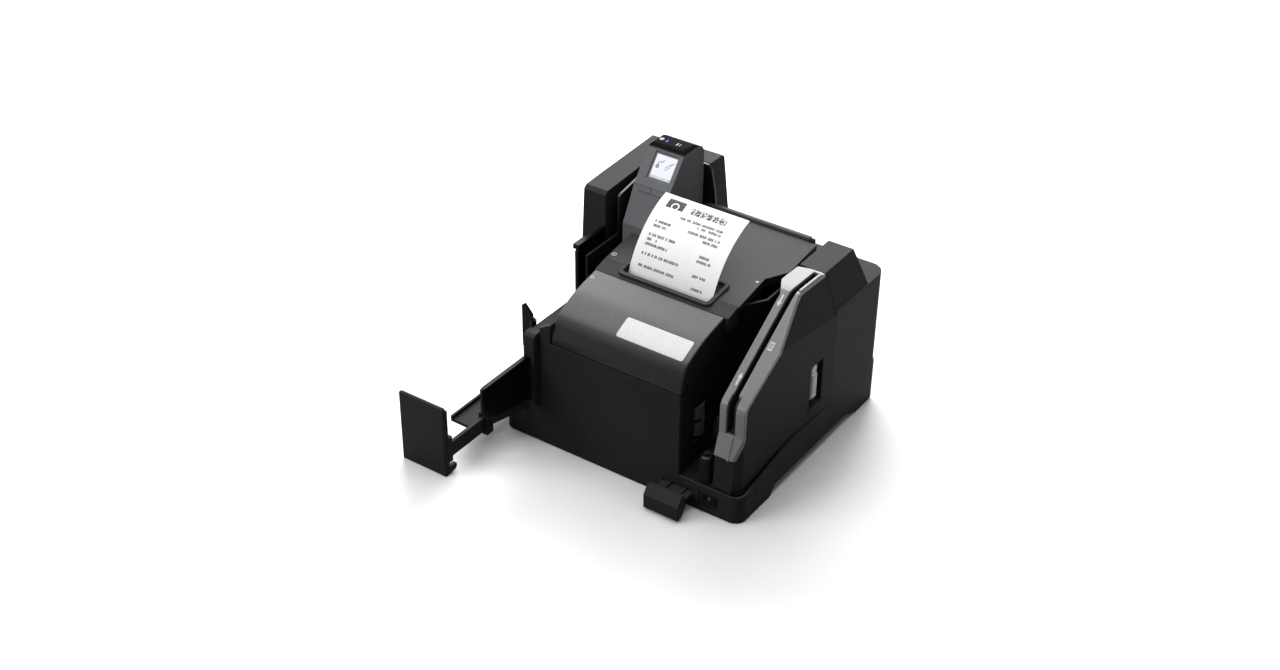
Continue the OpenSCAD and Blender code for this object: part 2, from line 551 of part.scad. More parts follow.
front_curve = concat([[0.8, fascia_h + 0.5], [0.8, 107]], [[2.4, 110.4], [5.6, 118]],
                     arc(15.5, 114.6, 11.3, 158, 112, 5), [[21, 130.1], [32.8, 134.7], [46, 137.8]],
                     [[60.1, strip_top(60.1)]]);
front_core = concat([[0.8 + wall, fascia_h - 1], [0.8 + wall, 107]], [[4.6, 109.8], [7.6, 117.2]],
                    arc(15.5, 114.6, 9.1, 158, 112, 5), [[21.8, 127.9], [33.3, 132.4], [46.5, 135.6]],
                    [[62, strip_top(62) - wall]]);
module front_cover() at_origin() color([0.15, 0.15, 0.155]) difference() {
  union() {
    difference() {
      side_view(concat(front_curve, [[60.1, 119.5], [20, 106], [8, 106], [8, fascia_h + 0.5]]), front_x0, front_x1);
      side_view(concat(front_core, [[62, 90], [0.8 + wall, 90]]), front_x0 + wall, front_x1 - wall);
    }
    for (x = [front_x0 + wall, front_x1 - wall - 4]) slab(x, x + 4, 1.5, 8, fascia_h + 0.5, fascia_h + 6.6);
  }
  along_x(front_x0 - 1, front_x1 + 1, hinge_y, hinge_z, 1.2 + run);
}

// Outer covers

module rear_cover() at_origin() color([0.13, 0.13, 0.135]) difference() {
  slab(arm_x + 0.4, path_in - 3.2, back_out, yb, cover_z, outer_h);
  slab(arm_x + 0.4 + wall, path_in - 3.2 - wall, back_out + wall, yb - wall, cover_z - 1, outer_h - wall);
  for (z = [46:8:94]) slab(-10, 50, yb - wall - 1, yb + 1, z, z + 2.4);
}

module right_rear_cover() at_origin() color([0.14, 0.14, 0.145]) {
  difference() {
  union() {
    difference() {
      intersection() {
        round_slab(path_in - 40, xr, seam_y - 30, yb, 13, cover_z, outer_h);
        plan([[path_out, seam_y + seam], [xr + 1, seam_y + seam], [xr + 1, yb + 1], [path_in - 3, yb + 1],
              [path_in - 3, back_out], [path_in + 1, back_out], [path_out, yb - 29]], cover_z, outer_h);
      }
      intersection() {
        round_slab(path_in - 40 + wall, xr - wall, seam_y - 30, yb - wall, 11, cover_z - 1, outer_h - wall);
        plan([[path_out + wall, seam_y + wall + seam], [xr, seam_y + wall + seam], [xr, yb],
              [path_in - 3 + wall, yb], [path_in - 3 + wall, back_out + wall], [path_in + 2, back_out + wall],
              [path_out + wall, yb - 28]], cover_z - 1, outer_h - wall);
      }
    }
    difference() {
      hump_solid(0, outer_h - 6);
      hump_solid(wall, 60);
    }
  }
  slab(path_out - 1, path_out + wall + 1, side_y - 11, side_y + 11, 44.4, 108);
  up(pinch_x, side_y, 40, 112, 1.8 + run);
  }
  difference() {
    for (z = [42, 108]) slab(path_out + wall - 0.1, path_out + 14, side_y - 9, side_y + 9, z, z + 2.4);
    up(pinch_x, side_y, 40, 113, 1.8 + run);
  }
}

// Solid of the humped cover, reduced on all sides by t.
module hump_solid(t, z0) intersection() {
  front_view([[path_out + t, z0], [xr - t, z0], [xr - t, outer_h - 3], [xr - 12.9 - t, hump_h - t],
              [path_out + t, hump_h - t]], seam_y + seam + t, yb - 29 - t);
  side_view([[seam_y + seam + t, z0], [seam_y + seam + t, hump_h + 1], [yb - 39 - t, hump_h + 1],
             [yb - 38 - t, hump_h - t], [yb - 30 - t, outer_h - 2], [yb - 30 - t, z0]], xl, xr + 1);
}

// Mouth where the cheques come out of the left rear housing.
mouth_x0 = xl + 4;
mouth_x1 = left_out - 4;
housing_edge = [[xl, block_y], [left_out, block_y], [left_out, yb - 36], [left_out + 14, back_out],
                [arm_x, back_out], [arm_x, yb], [xl + 9, yb], [xl, yb - 9]];
module left_rear_housing() at_origin() color([0.12, 0.12, 0.125]) {
  difference() {
    plan(housing_edge, cover_z, outer_h);
    plan([[xl + wall, block_y + wall], [left_out - wall, block_y + wall], [left_out - wall, yb - 35],
          [left_out + 13, back_out + wall], [arm_x - wall, back_out + wall], [arm_x - wall, yb - 8],
          [xl + wall, yb - 8]], cover_z - 1, outer_h - wall);
    plan([[xl + wall, yb - 10], [arm_x - wall, yb - 10], [arm_x - wall, yb - wall], [xl + 10, yb - wall],
          [xl + wall, yb - 10]], cover_z - 1, outer_h - 4.6);
    slab(mouth_x0, mouth_x1, block_y - 1, block_y + wall + 1, cover_z - 1, outer_h - 6);
    slab(left_out - wall - 1, left_out + 1, block_y + 14, block_y + 34, cover_z - 1, outer_h - 28);
    slab(xl + 5, left_out - 5, block_y + 44, yb - 34, outer_h - wall - 1, outer_h + 1);
    // Room for the lower edge of the hinged cover.
    side_view([[yb - 6.6, outer_h + 0.1], [yb + 1, outer_h + 0.1], [yb + 1, outer_h - 1.8], [yb - 5.4, outer_h - 1.8]],
              xl - 1, arm_x + 1);
  }
  difference() {
    slab(exit_x - 9, left_out - wall + 0.1, exit_y - 7, exit_y + 7, 97, 99.4);
    up(exit_x, exit_y, 96, 101, shaft_r + run);
  }
  // Lugs with the hinge pins of the tall cover.
  for (x = [xl + 20, arm_x - 26]) {
    slab(x, x + 4, cart_y - 3.4, cart_y + 1.4, outer_h - 4, cart_z);
    along_x(x, x + 4, cart_y, cart_z, 1.9);
    along_x(x - 4, x + 8, cart_y, cart_z, 1.2);
  }
}

// Tall cover, hollow, tapering upwards; t is the distance inside the outer face.
module block_solid(t, z0) {
  intersection() {
    front_view([[xl + t, z0], [xl + 2.4 + t, block_h - 4], [xl + 3.4 + t, block_h - t], [left_out - t, block_h - t],
                [left_out - t, z0]], block_y + t, yb - t);
    side_view([[block_y + t, z0], [block_y + t, block_h - 8], [block_y + 3 + t, block_h - 5 - t],
               [yb - 9 - t, block_h - t], [yb - 5.5 - t, block_h - 3 - t], [yb - t, z0]], xl, left_out);
  }
  intersection() {
    front_view([[left_out - 4, z0], [left_out - 4, block_h - t], [arm_x - 15 - t, block_h - t],
                [arm_x - 10 - t, z0]], back_out - 4 + t, yb - t);
    side_view([[back_out + t, z0], [back_out - 3.4 + t, block_h - t], [yb - 5 - t, block_h - t],
               [yb - 2.5 - t, block_h - 2 - t], [yb - t, z0]], xl, arm_x + 1);
    plan([[left_out - 5, back_out - 5], [arm_x + 1, back_out - 5], [arm_x + 1, yb + 1], [left_out - 5, yb + 1]],
         z0, block_h);
  }
}
module cartridge_cover() at_origin() color([0.13, 0.13, 0.135]) difference() {
  union() {
    difference() {
      block_solid(0, outer_h + 0.4);
      block_solid(wall, outer_h - 4);
    }
    // Hinge bosses on both sides of each lug.
    for (x = [xl + 20, arm_x - 26], d = [-3.6, 4.4])
      slab(x + d, x + d + 3.2, cart_y - 2.4, yb - 1, outer_h + 0.6, cart_z + 4);
  }
  along_x(xl + 12, arm_x - 14, cart_y, cart_z, 1.2 + run);
  for (x = [xl + 20, arm_x - 26]) slab(x - 0.4, x + 4.4, cart_y - 4, yb + 1, outer_h, cart_z + 2.6);
}

module ink_cartridge() at_origin() color([0.24, 0.26, 0.30]) {
  slab(xl + 7, left_out - 6.5, block_y + 46, block_y + 68, outer_h - 40, block_h - 22);
  slab(xl + 9, left_out - 9, block_y + 50, block_y + 64, block_h - 22, block_h - 17);
  slab(xl + 4, left_out - 3, block_y + 44.4, block_y + 70, outer_h - 42, outer_h - 40);
  for (y = [block_y + 46, block_y + 66]) slab(xl + 6, xl + 10, y, y + 2, deck_z, outer_h - 42);
}

module card_guide() at_origin() color([0.06, 0.06, 0.065]) {
  side_view([[73, base_h - 1], [73, 141], [78, 147], [block_y - 0.2, 147], [block_y - 0.2, base_h - 1]],
            left_out - 3, left_out);
  slab(left_out - 5.6, left_out, 74, 90, 142.6, 147);
  plan([[xl + 2.6, 14], [xl + 13.5, 2.8], [body_l + 8, 2.8], [body_l + 8, 73], [left_out, 73],
        [left_out, block_y - 0.2], [xl + 2.6, block_y - 0.2]], base_h - 2.2, base_h);
}

// Display tower

tower_edge = [[tower_y, 127], [tower_y + 1, 151.7], [face_y, face_z], [face_y + 20.6, face_z + 26.2],
              [face_y + 23, tower_h - 0.5], [face_y + 25.5, tower_h], [tower_back - 12, tower_h - 0.6],
              [tower_back - 3, tower_h - 5], [tower_back, tower_h - 10], [tower_back, 110], [tower_y + 6, 110]];
tower_core = [[tower_y + 2.2, 109], [tower_y + 3.4, 151.4], [face_y + 2, face_z - 1.2],
              [face_y + 22.4, face_z + 24.8], [face_y + 24, tower_h - 2.4], [face_y + 26, tower_h - wall],
              [tower_back - 12.6, tower_h - 2.8], [tower_back - 4.6, tower_h - 6.8],
              [tower_back - wall, tower_h - 11.6], [tower_back - wall, 109]];
// Outline of the tower from the front, reduced by t; its foot clears the paper bay.
module tower_front(t) front_view(concat([[tower_x + t, 105]], arc(tower_x + 4, tower_h - 4, 4 - t, 180, 90, 5),
  arc(tower_x + tower_w - 5, tower_h - 5, 5 - t, 90, 0, 6), [[tower_x + tower_w - t, 133.4 - 2 * t],
  [tower_x + tower_w - 4 - t, 133.4 - 2 * t], [tower_x + tower_w - 4 - t, 105]]), tower_y - 1, yb);
// Places children on the lower, steeper face: s runs up the slope.
module on_low(x, s) translate([x, face_y, face_z]) rotate([low_a, 0, 0]) translate([0, s, 0]) children();
key_x = [tower_x + 11.4, tower_x + 24.2];
lights_x = [10.8, 21, 23.6];
module tower_shell() at_origin() color([0.20, 0.20, 0.205]) difference() {
  intersection() {
    side_view(tower_edge, tower_x, tower_x + tower_w);
    tower_front(0);
  }
  intersection() {
    side_view(tower_core, tower_x, tower_x + tower_w);
    tower_front(wall);
  }
  on_face(screen_x, 7.6) {
    translate([-screen_w / 2 - 0.1, -0.1, -3]) cube([screen_w + 0.2, screen_l + 0.2, 5]);
    translate([-screen_w / 2 - 1.4, -1.4, -0.8]) cube([screen_w + 2.8, screen_l + 2.8, 3]);
  }
  for (x = key_x) on_low(x, -5.6) translate([-6, 0, -5]) cube([12, 4.6, 9]);
  up(tower_x + 6.6, face_y + 30, tower_h - 5, tower_h + 1, 2.3);
  for (x = lights_x) slab(tower_x + x, tower_x + x + 1.6, face_y + 28, face_y + 32, tower_h - 5, tower_h + 1);
}

module screen_panel() at_origin() color([0.62, 0.68, 0.80]) on_face(screen_x, 7.6)
  translate([-screen_w / 2, 0, -2.2]) cube([screen_w, screen_l, 1.5]);

module display_board() at_origin() color([0.07, 0.27, 0.14]) {
  on_face(screen_x, 2) translate([-screen_w / 2 - 3, 0, -8.6]) cube([screen_w + 3.8, 30, 1.4]);
  on_face(screen_x, 8.6) translate([-screen_w / 2 + 1, 0, -7.2]) cube([screen_w - 2, screen_l - 2, 4.9]);
  on_face(screen_x, 27) translate([-screen_w / 2 - 2.6, 0, -7.2]) cube([2, 3, 4.6]);
}

module soft_key(x) on_low(x, -5.6) {
  translate([-5.8, 0.2, -2]) cube([11.6, 4.2, 2.4]);
  translate([-1.2, 1.2, -5.4]) cube([2.4, 2.2, 3.6]);
}
module left_key() at_origin() color([0.23, 0.23, 0.235]) soft_key(key_x[0]);
module right_key() at_origin() color([0.23, 0.23, 0.235]) soft_key(key_x[1]);

module power_button() at_origin() color([0.55, 0.56, 0.58]) {
  up(tower_x + 6.6, face_y + 30, tower_h - 4.4, tower_h + 0.7, 2.1);
  up(tower_x + 6.6, face_y + 30, tower_h - 5.4, tower_h - 4.4, 3);
}

module status_lights() at_origin() color([0.80, 0.86, 0.95]) {
  for (x = lights_x) slab(tower_x + x + 0.1, tower_x + x + 1.5, face_y + 28.1, face_y + 31.9, tower_h - 3, tower_h + 0.1);
  slab(tower_x + 10, tower_x + 25.6, face_y + 27.6, face_y + 32.4, tower_h - wall - 1.4, tower_h - wall - 0.4);
}

// Door at the right with the card reader

door_plan = [[door_in, 3], [xr - 11, 3], [xr - 5, 10], [xr, seam_y - 0.2], [path_out + 10, seam_y - 0.2],
             [path_out, seam_y - 3.4], [path_out, 108], [door_in, 92]];
door_core = [[door_in + wall, 3 + wall], [xr - 12, 3 + wall], [xr - 5 - wall, 11], [xr - wall, seam_y - 2.4],
             [path_out + 10.5, seam_y - 2.4], [path_out + wall, seam_y - 5.8], [path_out + wall, 109.4],
             [door_in + wall, 93.4]];
rail_t = 2.6;
rail_y = 9.5;
rail_y1 = 96;
rail_rise = (hump_h + 1.5 - deck_z - 78) / (rail_y1 - rail_y);
function rail_line(t) =
  [[3 + t, deck_z + 32], [rail_y + t, deck_z + 51], [rail_y + t, deck_z + 73 - t * 0.4],
   [rail_y + 0.8 + t, deck_z + 77 - t * 0.5], [rail_y + 2.8 + t, deck_z + 79.6 - t * 0.5],
   [rail_y + 6 + t, deck_z + 78 + 6 * rail_rise - t * 0.5],
   [rail_y1 - 6 + t, hump_h + 1.5 - 6 * rail_rise - t * 0.9], [rail_y1 + t, hump_h + 0.9 - t],
   [rail_y1 + 6, hump_h + 1.2 - t], [seam_y - 0.2, hump_h - t]];
slit_x0 = xr - 21;
slit_x1 = xr - 16.2;
module door_solid(t) intersection() {
  plan(t == 0 ? door_plan : door_core, 0, 200);
  side_view(concat([[3 + t, door_low(3) - (t == 0 ? 0 : 1)]], rail_line(t + rail_t),
                   [[seam_y, base_h + 0.6 - (t == 0 ? 0 : 1)], [75, base_h + 0.6 - (t == 0 ? 0 : 1)]]), xl, xr + 1);
  front_view([[0, 0], [xr - t, 0], [xr - t, outer_h - 3], [xr - 12.9 - t, hump_h], [0, hump_h]], 0, yb);
}
slit_view = [[-1, deck_z + 51], [31, deck_z + 51], [31, deck_z + 65], [108, 141.5], [seam_y - 3, 147],
             [seam_y - 3, 172], [60, 172], [-1, deck_z + 92]];
module door_shell() at_origin() color([0.13, 0.13, 0.135]) {
  difference() {
    door_solid(0);
    difference() {
      door_solid(wall);
      // Walls of the card slit, the reader block and the boss of the hinge pin stay.
      slab(slit_x0 - 1.8, slit_x1 + 1.8, 0, seam_y, deck_z + 49, 180);
      slab(slit_x1, slit_x1 + 10, 50, 64, deck_z + 84, 180);
      up(door_x, door_y, deck_z - 1, deck_z + 37, 4.8);
      slab(xr - 16, xr - wall, 98, 125, 48, 96);
    }
    side_view(slit_view, slit_x0, slit_x1);
    slab(slit_x1 - 0.01, slit_x1 + 8, 52, 62, deck_z + 86, deck_z + 98);
    up(door_x, door_y, deck_z - 1, deck_z + 35, 2.5 + run);
    slab(xr - 6.5, xr + 1, 103, 121, 52, 92);
    along_x(xr - 12, xr, 109.5, 88, 1.5 + run);
    slab(door_in - 9, door_in + 9, 60, 75, 30, 100);
  }
  // Ledge under the lever, and a cross wall that ties the slit walls to the shell.
  side_view([[101, 50.4], [101, 51.4], [123, 51.4], [123, 50.4]], xr - 3, xr - 0.2);
  slab(slit_x0 - 1.8, slit_x1 + 1.8, 100, 102, deck_z + 49, 140);
}

module swipe_rails() at_origin() color([0.42, 0.43, 0.44]) {
  difference() {
    intersection() {
      plan(door_plan, 0, 200);
      side_view(concat(rail_line(0), [for (i = [9:-1:0]) rail_line(rail_t)[i]]), xl, xr + 1);
      front_view([[0, 0], [xr - 0.6, 0], [xr - 0.6, outer_h - 3], [xr - 12.9, hump_h], [xr - 13.5, hump_h + 9],
                  [0, hump_h + 9]], 0, yb);
    }
    side_view(slit_view, slit_x0, slit_x1);
    slab(slit_x0 - 0.6, slit_x1 + 3, -1, 18, deck_z + 51, deck_z + 84);
  }
  // Raised guide strips on the lower and upper ramps.
  side_view([[2.4, deck_z + 31.6], [8.7, deck_z + 50.6], [10, deck_z + 50.6], [3.6, deck_z + 31.6]], slit_x1, slit_x1 + 2.2);
  side_view([[100, hump_h - 0.6], [100, hump_h + 2.2], [seam_y - 4, hump_h + 0.9], [seam_y - 4, hump_h - 0.6]],
            slit_x1 + 0.4, slit_x1 + 2.6);
}

module swipe_head() at_origin() color([0.62, 0.62, 0.64]) {
  slab(slit_x1 + 0.6, slit_x1 + 7.8, 52.2, 61.8, deck_z + 86.2, deck_z + 97.8);
  along_x(slit_x1 - 0.4, slit_x1 + 1, 57, deck_z + 92, 4);
}

module door_pin() at_origin() color([0.75, 0.76, 0.78]) {
  up(door_x, door_y, floor_z + 2, deck_z + 29, 2.5);
}

module door_lever() at_origin() color([0.36, 0.37, 0.38]) {
  slab(xr - 5.9, xr - 1.6, 105, 112.4, 60, 88);
  along_x(xr - 5.9, xr - 1.6, 109.5, 88, 3.4);
  translate([xr - 1.6, 108.7, 61]) intersection() {
    cylinder(r = 3.4, h = 22);
    slab(-5, 1.3, -5, 5, -1, 30);
  }
  along_x(xr - 11, xr - 4, 109.5, 88, 1.5);
}

// Feeder

module feed_roller() at_origin() color([0.30, 0.30, 0.31]) {
  up(feed_x, feed_y, 16.8, 84, shaft_r);
  for (z = [47, 63]) up(feed_x, feed_y, z, z + 12, roller_d / 2 - 0.6);
  up(feed_x, feed_y, 17, 21.4, 7);
}
module arm_post() at_origin() color([0.10, 0.10, 0.105]) {
  up(arm_x0, arm_y0, deck_z, deck_z + 14, 6);
  up(arm_x0, arm_y0, deck_z + 14, deck_z + 26, 2.4);
}
module feed_arm() at_origin() color([0.13, 0.13, 0.135]) {
  difference() {
    union() {
      up(arm_x0, arm_y0, deck_z + 14.3, deck_z + 22, 5);
      slab(arm_x0 - 0.3, arm_x0 + 2.1, 12, 46, deck_z + 14.3, deck_z + 22);
      slab(arm_x0 - 2.1, arm_x0 + 2.1, 24, 46, deck_z + 14.3, deck_z + 50);
    }
    up(arm_x0, arm_y0, deck_z + 13, deck_z + 23, 2.4 + run);
  }
}
module arm_spring() at_origin() color([0.70, 0.71, 0.73]) {
  difference() {
    up(arm_x0, arm_y0, deck_z + 22.4, deck_z + 25.2, 4.8);
    up(arm_x0, arm_y0, deck_z + 22, deck_z + 26, 3.4);
  }
  for (s = [-1, 1]) along_y(arm_x0 + s * 4.1, arm_y0, 20, deck_z + 24, 0.7);
}
module side_roller() at_origin() color([0.30, 0.30, 0.31]) {
  up(side_x, side_y, 16.8, 116, shaft_r);
  for (z = [44, 88]) up(side_x, side_y, z, z + 20, roller_d / 2);
  up(side_x, side_y, 17, 21.8, 7);
}
module side_pinch_roller() at_origin() color([0.55, 0.55, 0.56]) {
  up(pinch_x, side_y, 42.2, 110.2, 1.8);
  for (z = [46, 90]) up(pinch_x, side_y, z, z + 16, 7.2);
}
module rear_roller() at_origin() color([0.30, 0.30, 0.31]) {
  up(rear_x, rear_y, 16.8, 109.2, shaft_r);
  for (z = [44, 84]) up(rear_x, rear_y, z, z + 20, roller_d / 2);
  up(rear_x, rear_y, 19.2, 21.8, 7);
}
module exit_roller() at_origin() color([0.30, 0.30, 0.31]) {
  up(exit_x, exit_y, 16.8, 101, shaft_r);
  for (z = [44, 80]) up(exit_x, exit_y, z, z + 14, roller_d / 2 - 2);
  up(exit_x, exit_y, 19.2, 21.8, 5);
}
module image_bar() at_origin() color([0.16, 0.17, 0.20]) {
  slab(body_r - 12, body_r - wall - 0.2, 62, 76, 27, 124);
  slab(body_r - wall - 0.2, body_r - 0.2, 63.4, 74.6, 29.4, 121.6);
}
module ink_head() at_origin() color([0.70, 0.71, 0.72]) {
  slab(body_r - 14, body_r - wall - 0.2, 48, 58, 26, 48);
  slab(body_r - wall - 0.2, body_r + 0.4, 50, 56, 29, 45);
}

module drive_motor() at_origin() color([0.60, 0.61, 0.63]) {
  up(motor_x, motor_y, 24, 60, 15);
  up(motor_x, motor_y, 17, 24, 5);
  slab(motor_x - 18, motor_x + 18, motor_y - 13, motor_y + 13, 22.4, 24);
  for (p = [[-16, -13], [-16, 9], [14.4, 9]])
    slab(motor_x + p[0], motor_x + p[0] + 2, motor_y + p[1], motor_y + p[1] + 4, floor_z, 24);
}

// Belts under the deck: motor to feed and side roller, side roller to rear and exit roller.
lower_run = [[motor_x, motor_y, 5], [feed_x, feed_y, 7], [side_x, side_y, 7]];
upper_run = [[side_x, side_y, 7], [rear_x, rear_y, 7], [exit_x, exit_y, 5]];
module belt_loop(stops, t) hull() for (s = stops) translate([s[0], s[1]]) circle(s[2] + t, $fn = 40);
module belt(stops, z) translate([0, 0, z]) linear_extrude(1.8) difference() {
  belt_loop(stops, 1.2);
  belt_loop(stops, 0.1);
}
module drive_belt() at_origin() color([0.05, 0.05, 0.05]) {
  belt(lower_run, 17.3);
  belt(upper_run, 19.6);
}

// Pocket at the left

module pocket_floor() at_origin() color([0.08, 0.08, 0.085]) {
  plan([[xl - 24.5, -floor_out - 10], [bar_x - 4.5, -floor_out - 10], [bar_x - 4.5, -floor_out - 4.2],
        [xl + 1.6, -floor_out - 4.2], [xl + 1.6, -0.4], [xl - 0.2, -0.4], [xl - 0.2, block_y - 6],
        [xl - 24.5, block_y - 6]], deck_z - 7.6, deck_z - 4.8);
  slab(xl - 2, xl, 14, block_y - 6, deck_z - 7.6, base_h - 3);
  slab(xl - 24.5, xl - 22.5, -floor_out - 10, block_y - 6, deck_z - 7.6, deck_z - 2);
  for (y = [20:20:80]) slab(xl - 18, xl, y, y + 2, deck_z - 12, deck_z - 7.5);
  // Clip that embraces the slide bar.
  for (s = [-1, 1]) slab(bar_x + s * 3.1 - 1.1, bar_x + s * 3.1 + 1.1, -floor_out - 4, -floor_out + 4, 14, 33);
  slab(bar_x - 4.2, bar_x + 4.2, -floor_out - 4, -floor_out + 4, 31, 33);
  slab(bar_x - 4.2, bar_x + 4.2, -floor_out - 4, -floor_out + 4, 13, 15.8);
  // Sloping brace from the clip to the front of the housing.
  intersection() {
    plan([[bar_x + 2.6, -floor_out - 1], [bar_x + 6.4, -floor_out - 1], [body_l - 0.5, -0.1], [body_l - 5.5, -0.1]],
         0, 60);
    side_view([[-floor_out - 1, 23], [-floor_out - 1, 31], [-0.1, base_h - 0.4], [-0.1, base_h - 7.5]],
              bar_x, body_l + 1);
  }
}

module pocket_fence() at_origin() color([0.05, 0.05, 0.055]) {
  side_view([[-64, 85.6], [-6, 85.6], [-6, 46], [-60, 57], [-64, 62]], body_l + 1.5, body_l + 4);
  side_view([[-62, 84], [-6, 84], [-6, 85.6], [-62, 85.6]], body_l + 1, body_l + 4.6);
  side_view([[-58, 57.4], [-6, 47], [-6, 43], [-58, 53.4]], body_l - 1, body_l + 4);
  slab(body_l + 1.5, body_l + 6, -8, -6, 43, 85.6);
}

module pocket_flap() at_origin() color([0.04, 0.04, 0.045]) {
  difference() {
    union() {
      up(body_l - 3.4, 12, 80, 108, 2.6);
      intersection() {
        slab(body_l - 14, body_l - 3.4, 10.9, 13.1, 80, 121);
        front_view([[body_l - 14, 80], [body_l - 3.4, 84], [body_l - 3.4, 112], [body_l - 11.4, 121],
                    [body_l - 14, 119]], 0, 30);
      }
    }
    up(body_l - 3.4, 12, 70, 130, 1.2 + run);
  }
}

module stop_plate() at_origin() color([0.13, 0.13, 0.135]) {
  intersection() {
    round_slab(stop_x - stop_w, stop_x, -stop_out - 3.5, -stop_out, 1.7, low_z, stop_h + 1.2);
    side_view(concat([[-stop_out - 3.5, low_z]], arc(-stop_out - 1.75, stop_h - 0.55, 1.75, 180, 0, 8),
                     [[-stop_out, low_z]]), stop_x - stop_w - 1, stop_x + 1);
    front_view(concat([[stop_x - stop_w, low_z]], arc(stop_x - stop_w + 3, stop_h - 1.8, 3, 180, 90, 5),
                      arc(stop_x - 3, stop_h - 1.8, 3, 90, 0, 5), [[stop_x, low_z]]), -stop_out - 4, -stop_out + 1);
  }
  slab(stop_x - 2.6, stop_x - 0.6, -stop_out - 1, -stop_out + 2.2, 9, stop_h - 3);
  slab(stop_x - stop_w + 0.6, stop_x - stop_w + 2.6, -stop_out - 1, -stop_out + 2.2, 4, stop_h - 3);
  slab(stop_x - stop_w + 1, stop_x - 1, -stop_out - 1, -stop_out + 1.6, 4, 6);
  side_view([[-stop_out, low_z], [-stop_out + 9, low_z + 1.6], [-stop_out + 10.4, low_z + 4],
             [-stop_out + 9.6, 7.4], [-stop_out + 2, 8], [-stop_out, 10]], stop_x - 3.4, stop_x);
  slab(bar_x - 1.5, bar_x + 1.5, -stop_out, 12, 16.6, 30);
  slab(bar_x - 4, bar_x + 1.5, -stop_out, -stop_out + 6, 12, 36);
}

module feeder_tray() at_origin() color([0.12, 0.12, 0.125]) {
  slab(tray_x0, tray_x1, -tray_out - 2, 30, 11.9, 14.5);
  side_view([[-tray_out - 12.4, 2.4], [-tray_out - 12.6, 15], [-tray_out - 7, 22.5], [-tray_out - 2.4, 21.6],
             [-tray_out - 2, 15], [-tray_out - 2, 9], [-tray_out - 6, 3.4]], tray_x0 - 2, tray_x1 + 2);
  for (x = [tray_x0 + 6, tray_x1 - 8]) slab(x, x + 2, -tray_out - 2, 26, 14.5, 16);
}

module front_switch() at_origin() color([0.10, 0.10, 0.105]) {
  side_view([[0.3, 9.2], [-0.4, 13], [1, 16.8], [4, 16.8], [4, 9.2]], switch_x, switch_x + 11.8);
  along_x(switch_x, switch_x + 11.8, 3.4, 13, 2.4);
}

base_housing();
rubber_feet();
chassis_plate();
main_board();
board_parts();
port_plate();
port_shells();
power_inlet();
path_deck();
inner_guide();
front_fascia();
corner_post();
side_ledge();
slot_shroud();
roll_bay();
thermal_head();
cutter_frame();
cutter_blade();
platen_roller();
paper_roll();
roll_cover();
receipt();
front_cover();
slot_wall();
rear_cover();
right_rear_cover();
left_rear_housing();
cartridge_cover();
ink_cartridge();
card_guide();
tower_shell();
screen_panel();
display_board();
left_key();
right_key();
power_button();
status_lights();
door_shell();
swipe_rails();
swipe_head();
door_pin();
door_lever();
feed_roller();
feed_arm();
arm_post();
arm_spring();
side_roller();
side_pinch_roller();
rear_roller();
exit_roller();
image_bar();
ink_head();
drive_motor();
drive_belt();
pocket_floor();
pocket_fence();
pocket_flap();
stop_plate();
feeder_tray();
front_switch();
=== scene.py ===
# %% [markdown]
# # A desktop cheque scanner with a receipt printer
# The construction model already holds every housing, roller and lever at its real
# size. This script is the paint shop: it loads that model as a fixed frame, gives each
# piece its finish, adds the small things that are too fine for construction (a label,
# signs, screws, a wound spring) and sets up the studio.

# %% Load the frame and find the front of the housing
import json
import math

import bmesh
import bpy
import numpy as np
from mathutils import Matrix, Vector

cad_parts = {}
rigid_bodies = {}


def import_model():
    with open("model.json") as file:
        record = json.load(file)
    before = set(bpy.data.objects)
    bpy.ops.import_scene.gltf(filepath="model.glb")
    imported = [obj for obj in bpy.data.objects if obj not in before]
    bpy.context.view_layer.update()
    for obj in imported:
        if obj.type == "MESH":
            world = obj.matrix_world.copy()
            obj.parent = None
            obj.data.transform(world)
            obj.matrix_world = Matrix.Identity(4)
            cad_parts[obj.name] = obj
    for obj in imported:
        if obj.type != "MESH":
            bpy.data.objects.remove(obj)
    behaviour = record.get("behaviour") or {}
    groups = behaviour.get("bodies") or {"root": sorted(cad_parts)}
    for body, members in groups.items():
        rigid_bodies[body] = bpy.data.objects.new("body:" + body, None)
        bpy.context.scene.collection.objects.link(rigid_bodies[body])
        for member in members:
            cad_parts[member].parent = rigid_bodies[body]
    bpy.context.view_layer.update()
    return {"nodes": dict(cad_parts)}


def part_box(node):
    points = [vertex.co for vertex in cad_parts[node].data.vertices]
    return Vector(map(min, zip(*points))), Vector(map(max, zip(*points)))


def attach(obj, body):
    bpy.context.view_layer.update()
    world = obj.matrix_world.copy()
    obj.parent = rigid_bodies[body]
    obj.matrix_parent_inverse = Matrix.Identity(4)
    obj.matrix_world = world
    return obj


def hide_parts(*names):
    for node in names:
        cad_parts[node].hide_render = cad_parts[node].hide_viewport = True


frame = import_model()
base_low, base_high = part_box("base_housing")
MM = 0.001
# Drawing coordinates in millimetres: x from the middle of the housing, y from its front.
ZERO = np.array([(base_low.x + base_high.x) / 2, base_low.y, 0.0])


def place(points):
    """Turns drawing millimetres into metres in the shared frame."""
    return np.asarray(points, float) * MM + ZERO


print("housing front at", [round(v, 4) for v in ZERO])

# %% [markdown]
# ## The camera
# The camera looks down on the machine from the right front. Its matrix is built from
# three directions: to the right, up, and back towards the viewer. A small roll tips the
# picture, as in a hand-held product shot.

# %% Camera
TURN, DIP, ROLL = (math.radians(a) for a in (34.13, 33.68, 0.75))
FOCAL_PIXELS, PICTURE_WIDTH, SENSOR = 1840.2, 1280, 36.0
CAMERA_PLACE = (672.1, -961.7, 917.3)
NEAREST, FARTHEST = 0.05, 60

